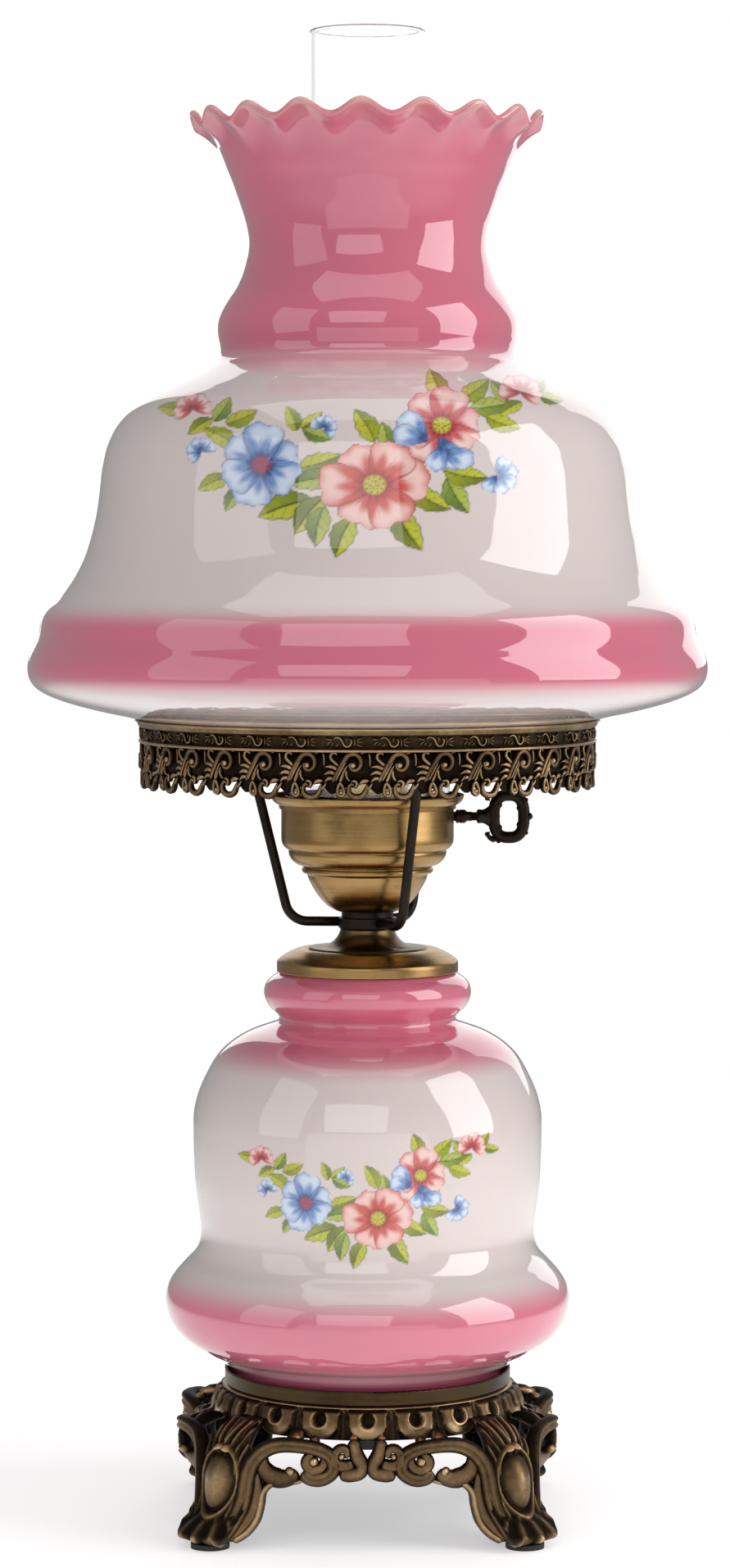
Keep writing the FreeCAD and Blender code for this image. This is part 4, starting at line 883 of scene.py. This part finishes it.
def ring_casting(m):
    angles = circle(EGGS * 30)
    low = CAST_TOP - BAND_TALL
    rows, wears = [], []

    def add_row(r, z, wear):
        rows.append(polar(r, angles, z))
        wears.append(wear + 0 * angles)

    for r, z, wear in ((5.3, CAST_TOP - 7.0, 0.1), (49.5, CAST_TOP - 7.0, 0.1), (52.0, low + 0.2, 0.15),
                       (59.5, low - 0.4, 0.2)):
        add_row(r, z, wear)
    s = ((angles / TAU * EGGS + 0.5) % 1.0 - 0.5) * 2 * EGG_HALF
    for v in np.linspace(0.0, BAND_TALL, 34):
        r0 = 62.4 - 3.9 * v / BAND_TALL + 0.66 * math.sin(math.pi * v / BAND_TALL)
        relief, wear = egg_and_dart(s, 0 * angles + v)
        fade = min(1.0, v / 0.7, (12.2 - v) / 0.5)
        r = r0 - 1.1 + relief * fade + (0.5 if v < 0.5 else 0.0)
        if v > 11.5:
            r, wear = r0 - 0.2, 0.8
        add_row(r, low + v, wear)
    for r, z, wear in ((50.2, CAST_TOP, 0.4), (50.0, CAST_TOP - 4.0, 0.15), (5.3, CAST_TOP - 4.0, 0.1)):
        add_row(r, z, wear)
    m.grid(np.array(rows), wrap_rows=True, paint=np.array(wears))


LEG_OUT = [(2, 91.5), (3.5, 94.8), (5.5, 95.6), (8.5, 92.8), (12, 88.6), (17, 85), (23, 83), (29, 82.2),
           (35, 81), (40, 78.4), (44.5, 74), (48, 68.5)]
LEG_HALF = [(2, 10), (3.5, 11.6), (5.5, 12.6), (8.5, 13.2), (12, 13.8), (17, 14.4), (23, 14.6), (29, 14.2),
            (35, 12.6), (40, 10.2), (44.5, 8.4), (48, 6.4)]


def leg_relief(t, z, half):
    """Relief and wear on the outer face of a leg: t across, z up."""
    s = t / half
    x = np.abs(t)
    crown = -2.6 * s**2 * half / 12.0
    egg = np.hypot(t / (7.6 + 0.05 * (z - 25.5)), (z - 25.5) / 10.4)
    stone = np.clip(1 - egg**2, 0, 1) ** 0.72
    groove = np.exp(-(((egg - 1.10) / 0.055) ** 2))
    frame_line = np.exp(-(((egg - 1.26) / 0.085) ** 2))
    relief = crown + 4.4 * stone - 0.8 * groove + 1.25 * frame_line
    wear = 0.22 + 0.46 * stone**0.6 * (egg < 1) + 0.50 * frame_line - 0.2 * groove
    low = ease(-z, -16.5, -9.0)
    flare = 1.0 + 0.10 * (16.0 - z) * low
    ribs = np.cos(np.pi * t / (2.05 * flare)) * 0.5 + 0.5
    rib_zone = ease(egg, 1.30, 1.5)
    bend = np.cos(np.pi * (x - 0.22 * (z - 4.0) + 0.9) / 1.75) * 0.5 + 0.5
    veins = np.where(z < 20, ribs * low + bend * (1 - low), bend)
    relief += 1.35 * rib_zone * (veins**1.2 - 0.35)
    wear += rib_zone * (0.54 * veins**2.6 - 0.12)
    for sign in (-1, 1):
        bead = np.hypot((t - sign * 2.0) / 2.0, (z - 38.0) / 2.1)
        dome = np.sqrt(np.clip(1 - bead**2, 0, 1))
        relief += 2.1 * dome
        wear += 0.5 * dome
    top = ease(z, 39.0, 42.0)
    fingers = np.abs(np.cos(np.pi * t / 4.6))
    relief += top * 1.5 * (fingers - 0.4)
    wear += top * 0.30 * (fingers - 0.3)
    toes = ease(-z, -6.8, -4.4)
    curl = np.abs(np.cos(np.pi * t / 5.6))
    relief += toes * 1.6 * (curl**0.7 - 0.5)
    wear += toes * 0.35 * curl
    return relief, np.clip(wear, 0.05, 1)


def leg_rows():
    zs = np.concatenate([np.linspace(2.0, 9.0, 20, endpoint=False), np.linspace(9.0, 48.0, 84)])
    curve_r, curve_h = smooth(LEG_OUT, 0.5), smooth(LEG_HALF, 0.5)
    front = np.sin(np.linspace(-math.pi / 2, math.pi / 2, 65))
    back = np.linspace(1, -1, 15)[1:-1]
    rows, wears = [], []
    for z in zs:
        r0 = np.interp(z, curve_r[:, 0], curve_r[:, 1])
        half = np.interp(z, curve_h[:, 0], curve_h[:, 1])
        t = front * half
        relief, wear = leg_relief(t, 0 * t + z, half)
        thick = 7.5 + 2.5 * math.exp(-(((z - 6) / 5.0) ** 2)) + 0.12 * max(0.0, z - 34.0)
        hollow = r0 - thick - 1.4 * (1 - back**2) + np.abs(back) ** 3 * 2.5
        out = np.concatenate([r0 + relief, hollow])
        rows.append(np.stack([out, np.concatenate([t, back * half * 0.94]), 0 * out + z], axis=1))
        wears.append(np.concatenate([wear, 0 * back + 0.16]))
    return np.array(rows), np.array(wears)


def spin(points, turn):
    """Points turned about the lamp's axis by turn degrees."""
    c, s = math.cos(math.radians(turn)), math.sin(math.radians(turn))
    x, y, z = np.moveaxis(points, -1, 0)
    return np.stack([x * c - y * s, x * s + y * c, z], axis=-1)


def apron_ground(u, v, w):
    """The apron stands almost flat, and its scrolls swell outwards on both sides of the middle."""
    depth = 64.2 + 8.8 * np.exp(-(((np.abs(u) - 25.0) / 12.0) ** 2)) * ease(v, 17.0, 33.0)
    return np.stack([u, -(depth + w), v], axis=-1)


def apron_strokes():
    """The right half of an apron: u from the middle of a side, v above the table."""
    return [
        # the long C scroll: up the leg's flank, over the arch and round into its volute
        stroke([(57, 3.2), (54, 8), (50.6, 14), (48.2, 21), (47, 28), (45.4, 33.4), (41.6, 38.2),
        (35.4, 41.6), (26.6, 42.4), (18.8, 40.4), (13.8, 36.2), (13.6, 31.4), (17.6, 28.7), (22.6, 29.4),
        (25, 32.4)],
        [2.6, 3.4, 3.7, 3.6, 3.4, 3.2, 3.1, 3.0, 2.9, 2.9, 3.1, 3.5, 2.7],
        [4.0, 4.4, 4.2, 3.8, 3.6, 3.4, 3.4, 3.4, 3.4, 3.4, 3.2, 3.0], groove=0.42, sides=16, lift=0.4),
        # its inner turn and eye
        stroke([(17.4, 40.2), (16.4, 36.2), (18.2, 33.2), (21.8, 32.8), (24, 35.6), (22.6, 38.4), (20.2, 38.2)],
        [1.8, 2.3, 2.4, 2.1, 1.6], [2.6, 3.0, 2.8], groove=0.25, sides=12, lift=0.0),
        ball(20.8, 36.2, 1.2, 2, flat=1.2),
        # the hooked leaf inside the arch
        stroke([(28.4, 33), (29.6, 30), (33.2, 28.4), (38, 29.4), (41, 33.2), (40.8, 38.2)],
        [2.1, 3.6, 4.4, 4.2, 3.4, 1.9], [2.4, 3.2, 2.6], groove=0.35, sides=14, lift=-0.6),
        ball(30.2, 32.2, 1, 1.9, flat=1.1),
        # the small volute beside the middle gap, its stalk and its foot
        stroke([(5.4, 43.4), (5, 40), (4, 36.4), (2.2, 33.2), (3, 30.4), (6.4, 29.6), (11.2, 30)],
        [2.5, 2.7, 3.1, 2.8, 3.2, 3.4, 2.6], [3.0, 3.6, 3.4], groove=0.25, sides=14, lift=0.2),
        stroke([(5.2, 34.2), (8.6, 33), (12, 34.2), (13, 37.2), (11.2, 39.8), (8.6, 39.6), (8, 37.4),
        (9.4, 36.2)], [2.3, 2.7, 2.3, 1.9, 1.4], [2.8, 3.2, 3], groove=0.25, sides=12, lift=0.4),
        ball(10.1, 37, 2.2, 1.3),
        # the lower edge of the casting, from the middle down the inside of the leg
        stroke([(24.5, 28.6), (27, 27.6), (30, 26.9), (37, 26.2), (40.8, 22.6),
        (42, 17), (44, 11), (48.4, 6), (53.4, 3)],
        [1.2, 1.5, 1.8, 2.0, 2.3, 2.6, 2.3], [3.2, 4.0, 5.4, 6.0, 5.0], sides=12, lift=-2.6),
        # the leaf that runs down beside the scroll to the toe
        stroke([(43.4, 31), (43, 23), (44.6, 15), (49.4, 8), (55.2, 3.6)], [1.2, 2.6, 3.2, 3.2, 2.2],
        [2.8, 3.8, 4.2, 3.4], groove=0.3, sides=14, lift=-0.8),
        # the shoulder leaf between the ring and the leg
        stroke([(50.4, 22), (51.2, 30), (50.2, 38), (46.4, 44.6), (41, 48.4)], [1.2, 1.8, 2, 1.8, 1],
        [2.6, 3.4, 3.2], groove=0.3, sides=12, lift=[-3.0, -4.0, -6.5, -11.0, -17.0]),
        # ties up to the ring
        stroke([(31, 41.4), (28.6, 43.4), (25.4, 45.6)], [2.2, 2.8, 3.2], [3.2, 4.5, 5.5],
               sides=12, lift=[-2.6, -7.4, -12.5]),
        stroke([(22, 41), (20.8, 43), (20, 45)], [1.8, 2.1, 2.4], [2.6, 2.6, 2.4],
               sides=12, lift=[-1.6, -3.4, -5]),
        stroke([(5.4, 42.4), (5.5, 43.6), (5.8, 45)], [1.9, 2.2, 2.4], [2.6, 2.4, 2.2],
               sides=12, lift=[-1.2, -2.6, -4]),
    ]


def casting():
    m = Mesh()
    ring_casting(m)
    rows, wears = leg_rows()
    for k in range(4):
        m.grid(spin(rows, 45 + 90 * k), paint=wears, ends=True)
    for k in range(4):
        for side in (1, -1):

            def ground(u, v, w):
                return spin(apron_ground(u, v, w) * (side, 1, 1), 90 * k)

            lay_strokes(m, apron_strokes(), ground, flip=(side < 0))
    m.make("base_scrollwork", CAST, "base_casting")


casting()

# ---- Spun brass: burner cup and vase cap ----


def lathe(name, node, loop):
    """A turned piece from a closed loop of (radius, height) points."""
    m = Mesh()
    closed = resample(np.array(loop + loop[:1], float), 0.45)[:-1]
    m.grid(round_points(closed, circle(176)), wrap_rows=True)
    m.make(name, SPUN, node)


def run(base, *points):
    """A smooth run through (radius, height above base) points, as a list."""
    return [tuple(p) for p in smooth([(r, base + h) for r, h in points], 0.5)]


def spun_parts():
    b, top = heights("burner_cup")
    outside = (
        run(b, (11.6, 0), (13.8, 0.9), (16.8, 3), (19.8, 6.4), (22.2, 10.2), (23.7, 13.2), (24.2, 15))
        + run(b, (24.7, 15.3), (25.9, 15.7), (26.35, 16.7), (26, 17.7), (25.5, 18.1))
        + run(b, (26.3, 18.4), (28.6, 19.3), (30.6, 21.1), (31.6, 23.2), (31.7, 24.6))
        + run(b, (31.3, 25), (32.4, 25.3), (33.7, 26.5), (34.4, 28), (34.6, 30))
    )
    inside = run(
        b, (33.8, 30.0), (33.2, 27.8), (32.0, 26.3), (30.9, 25.6), (30.7, 24.0), (29.6, 21.6), (27.6, 20.2),
        (25.2, 18.8), (24.9, 17), (23.2, 15.4), (21.4, 10.8), (18.6, 6.8), (15.6, 3.6), (11.5, 1)
    )
    lathe("spun_cup", "burner_cup", outside + [(34.6, top - 0.1), (33.8, top - 0.1)] + inside)
    low, high = heights("vase_cap")
    outside = [(36.4, low), (36.4, low + 3.4)] + run(
        0.0, (36.3, low + 4.0), (35.7, low + 4.7), (34.0, low + 6.0), (31.4, low + 7.5), (28.6, high + 0.55),
        (26.2, high + 1), (24.6, high + 0.55), (24.1, high - 0.05)
    )
    inside = [(5.2, high), (5.2, high - 0.8), (23.6, high - 0.9)] + run(
        high, (27.4, -2.2), (30.6, -3.4), (33.0, -4.6), (35.4, -5.4)
    )
    lathe("domed_cap", "vase_cap", outside + inside + [(35.6, low)])


spun_parts()

# ---- Arms and key ----


def tube_along(m, line, radius, sides=14, wear=0.4):
    """A round rod along a 3-D polyline, closed at both ends."""
    tangent = np.gradient(line, axis=0)
    tangent /= np.linalg.norm(tangent, axis=1)[:, None]
    phi = circle(sides)[:, None]
    normal = np.cross(tangent[0], np.array([0.31, 0.83, 0.46]))
    rings = []
    for middle, t in zip(line, tangent):
        normal = normal - t * normal.dot(t)
        normal /= np.linalg.norm(normal)
        rings.append(middle + radius * (np.cos(phi) * normal + np.sin(phi) * np.cross(t, normal)))
    m.grid(np.array(rings), paint=wear, ends=True)


def bent(points, radius, step=1.2):
    """Straight runs with round bends, as (r, z) samples."""
    out = [np.array(points[0], float)]
    for a, b, c in zip(points, points[1:], points[2:]):
        a, b, c = (np.array(p, float) for p in (a, b, c))
        back, on = (a - b) / np.linalg.norm(a - b), (c - b) / np.linalg.norm(c - b)
        half = math.acos(np.clip(back.dot(on), -1, 1)) / 2
        reach = radius / math.tan(half)
        middle = b + (back + on) / np.linalg.norm(back + on) * radius / math.sin(half)
        p, q = b + back * reach, b + on * reach
        a0 = math.atan2(*(p - middle)[::-1])
        a1 = math.atan2(*(q - middle)[::-1])
        turn = (a1 - a0 + math.pi) % TAU - math.pi
        for share in np.linspace(0, 1, 12):
            out.append(middle + radius * np.array([math.cos(a0 + turn * share), math.sin(a0 + turn * share)]))
    out.append(np.array(points[-1], float))
    return np.array(out)


def arms():
    rod = 1.95
    low, high = heights("holder_arms")
    low, high = low + 2.0, high - 2.0
    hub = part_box("holder_hub")[1].x / MM
    elbow, bend = 31.3, 9.0
    lean = elbow + 0.245 * (high - low)
    line = bent([(hub - 1.0, low), (elbow, low), (lean, high), (RING_RADIUS - 1.9, high)], bend)
    m = Mesh()
    for k in range(3):
        tube_along(m, polar(line[:, 0], math.radians(175.5 + 120 * k), line[:, 1]), rod)
    m.make("bent_arms", BRONZE, "holder_arms")


arms()


def turned_x(m, profile, height, wear, sides=32):
    """A closed turned shape about the key's axis from (x, radius) points."""
    x, r = np.array(profile).T[:, :, None]
    phi = circle(sides)
    rows = np.stack(np.broadcast_arrays(x, r * np.cos(phi), height + r * np.sin(phi)), axis=-1)
    m.grid(rows, paint=wear, ends=True)


def key():
    axis = sum(heights("turn_key")) / 2
    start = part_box("switch_shaft")[0].x / MM
    m = Mesh()
    shaft = [(start, 1.7), (start + 0.2, 1.9), (35.3, 1.9), (35.4, 2.3), (35.8, 2.72), (36.4, 2.75), (36.7, 2.45),
             (37.1, 2.75), (38.4, 2.75), (39.2, 2.62), (39.6, 2.2), (39.8, 1.9), (41.8, 1.9)]
    turned_x(m, shaft, axis, wear=0.45)
    m.make("key_shaft", BRONZE, "switch_shaft", "key")

    m = Mesh()
    collar = [(41.75, 1.7), (43.7, 1.7), (43.9, 2.5), (44.3, 2.84), (45.4, 2.84), (45.9, 2.4), (46.4, 1.7)]
    turned_x(m, collar, axis, wear=0.5)

    def ground(u, v, w):
        return np.stack([u, -w, axis + v], axis=-1)

    fan = []
    for x in np.linspace(45.6, 51.6, 18):
        share = (x - 45.6) / 6.0
        tall = 2.7 + 5.4 * share**1.9
        thick = 1.95 - 0.35 * share
        fan.append([(x, tall * math.cos(p), thick * math.sin(p), 0.3 + 0.4 * abs(math.sin(p)) ** 3)
                    for p in np.linspace(0, TAU, 20, endpoint=False)])
    lay_strokes(m, [(np.array(fan), False)], ground, flip=True)
    oval = []
    for a in np.linspace(0, TAU, 32, endpoint=False):
        c, s = math.cos(a), math.sin(a)
        square = (abs(c) ** 2.7 + abs(s) ** 2.7) ** (-1 / 2.7)
        oval.append((56.7 + 6.0 * square * c, 8.5 * square * s))
    parts = [
        stroke(oval, [2.35], 2.1, closed=True, sides=16, step=0.6),
    ]
    for way in (1, -1):
        horn = [(49.0, way * 6.2), (48.3, way * 7.2), (48.9, way * 8.4), (51.6, way * 9.9)]
        parts.append(stroke(horn, [0.7, 0.9, 1.1, 1.2], 1.6, sides=12, step=0.5))
    for x, z, r in ((52.6, 4.6, 1.5), (51.6, 0.1, 1.6), (52.6, -4.6, 1.5), (61.2, 3.4, 1.5), (61.2, -3.4, 1.5),
        (64.8, 0, 1.5), (48, 7.2, 1), (48, -7.2, 1), (63.6, 6.6, 0.9), (63.6, -6.6, 0.9),
        (52.6, -9.9, 1)):
        parts.append(ball(x, z, 0.0, r, rings=10, sides=14, flat=1.2))
    lay_strokes(m, parts, ground, flip=True)
    m.make("key_bow", BRONZE, "turn_key", "key")


key()

# ---- CAD nodes that stay, with their own finishes ----

STEEL = plain("zinc_plate", (0.52, 0.53, 0.54), 0.34, metal=1.0, scale=160.0)
ALUMINIUM = plain("rolled_aluminium", (0.80, 0.80, 0.80), 0.26, metal=1.0, scale=200.0)
PLAIN_BRASS = plain("lacquered_brass", (0.62, 0.45, 0.18), 0.24, metal=1.0, scale=90.0)
RUBBER = plain("black_rubber", (0.018, 0.018, 0.018), 0.75, scale=300.0, change=0.3, bump=0.4)
BLACK = plain("black_moulding", (0.022, 0.021, 0.02), 0.45, scale=220.0, change=0.2)
CREAM = plain("cream_moulding", (0.80, 0.76, 0.66), 0.42, scale=180.0, change=0.05)
CARD = plain("fibre_card", (0.42, 0.30, 0.18), 0.9, scale=420.0, change=0.25, bump=0.5)
FROSTED = plain(
    "frosted_bulb", (0.90, 0.90, 0.88), 0.35, scale=60.0, change=0.02, bump=0.02, Coat__Weight=0.5
)

FINISH = {
    "foot_pads": RUBBER, "seating_cup": SEAT_PAINTED_SHADOW, "foot_gasket": RUBBER, "lip_gasket": RUBBER,
    "neck": SPUN_PAINTED_SHADE, "holder_hub": BRONZE, "lamp_pipe": STEEL, "base_washer": STEEL, "base_nut": STEEL,
    "cup_nut": STEEL, "cord_bushing": BLACK, "chimney_seat": SPUN, "shade_shelf": SPUN_PAINTED_SHADE,
    "socket_cap": PLAIN_BRASS, "socket_shell": PLAIN_BRASS, "socket_liner": CARD, "switch_block": BLACK,
    "screw_shell": ALUMINIUM, "centre_contact": PLAIN_BRASS, "bulb_cap": ALUMINIUM, "bulb_envelope": FROSTED,
    "night_strap": STEEL, "strap_collar": PLAIN_BRASS, "night_socket": CREAM, "night_bulb_cap": ALUMINIUM,
    "night_bulb_envelope": FROSTED,
}
for node, material in FINISH.items():
    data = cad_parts[node].data
    data.materials.clear()
    data.materials.append(material)

# ---- Stage, light and camera ----


def stage():
    sides, edge = 96, 1500.0
    m = Mesh()
    rings = [polar(r, circle(sides), 0.0) for r in np.linspace(2.0, edge, 12)]
    m.grid(np.array(rings), flip=True)
    m.faces.append(tuple(range(sides)))
    n = Nodes("studio_paper")
    place = n.where()
    tint = n.ramp(n.noise(place, 3.0, 3.0), (0.3, (0.90, 0.90, 0.90)), (0.7, (0.93, 0.93, 0.93)))
    reach = n.add("ShaderNodeVectorMath", _operation="LENGTH")
    n.tree.links.new(place, reach.inputs[0])
    fade = n.add("ShaderNodeMapRange", Value=reach.outputs["Value"], _interpolation_type="SMOOTHSTEP")
    for name, value in (("From Min", 0.30), ("From Max", 1.45), ("To Min", 1.0), ("To Max", 0.0)):
        fade.inputs[name].default_value = value
    material = n.surface(
        Base__Color=tint, Roughness=0.85, Normal=n.bump(n.noise(place, 500.0), 0.02, 0.0005),
        Alpha=fade.outputs["Result"], Emission__Color=(1, 1, 1, 1), Emission__Strength=0.42
    )
    m.make("studio_floor", material)


stage()


def area(name, place, aim, size, power):
    light = bpy.data.lights.new(name, "AREA")
    light.shape = "RECTANGLE"
    light.size, light.size_y = size
    light.energy = power
    obj = bpy.data.objects.new(name, light)
    obj.location = place
    obj.rotation_euler = (Vector(aim) - Vector(place)).to_track_quat("-Z", "Y").to_euler()
    bpy.context.scene.collection.objects.link(obj)


area("softbox_left", (-1.45, -0.85, 0.80), (0, 0, 0.32), (1.0, 1.6), 3.4)
area("softbox_right", (1.45, -0.45, 0.80), (0, 0, 0.32), (1.0, 1.6), 14)
area("front_window", (-0.35, -2.50, 1.30), (0, 0, 0.36), (2.0, 1.5), 11)
area("top_panel", (0.0, -0.25, 1.75), (0, 0, 0.30), (1.5, 1.0), 4)
area("table_bounce", (0.0, -1.1, 0.04), (0, 0, 0.34), (1.8, 0.5), 1.6)
area("back_fill", (0.3, 1.7, 1.0), (0, 0, 0.32), (2.0, 1.4), 9)


def studio_air():
    """A soft grey surround that lights the lamp, and plain white behind it."""
    world = bpy.data.worlds.new("studio")
    world.use_nodes = True
    tree = world.node_tree
    soft = tree.nodes["Background"]
    soft.inputs["Color"].default_value = (0.95, 0.94, 0.94, 1)
    soft.inputs["Strength"].default_value = 0.30
    white = tree.nodes.new("ShaderNodeBackground")
    white.inputs["Color"].default_value = (1, 1, 1, 1)
    white.inputs["Strength"].default_value = 1.0
    path = tree.nodes.new("ShaderNodeLightPath")
    seen = tree.nodes.new("ShaderNodeMath")
    seen.operation = "MAXIMUM"
    tree.links.new(path.outputs["Is Camera Ray"], seen.inputs[0])
    tree.links.new(path.outputs["Is Transmission Ray"], seen.inputs[1])
    both = tree.nodes.new("ShaderNodeMixShader")
    tree.links.new(seen.outputs[0], both.inputs[0])
    tree.links.new(soft.outputs[0], both.inputs[1])
    tree.links.new(white.outputs[0], both.inputs[2])
    tree.links.new(both.outputs[0], tree.nodes["World Output"].inputs["Surface"])
    bpy.context.scene.world = world


studio_air()

lens = bpy.data.cameras.new("camera")
lens.lens = 102.5
lens.sensor_width = 36.0
lens.sensor_fit = "AUTO"
lens.clip_end = 20.0
camera = bpy.data.objects.new("camera", lens)
camera.location = (-0.001, -1.787, 0.3976)
camera.rotation_euler = (math.radians(90 - 3.277), 0, 0)
bpy.context.scene.collection.objects.link(camera)
bpy.context.scene.camera = camera
bpy.context.scene.view_settings.view_transform = "Standard"
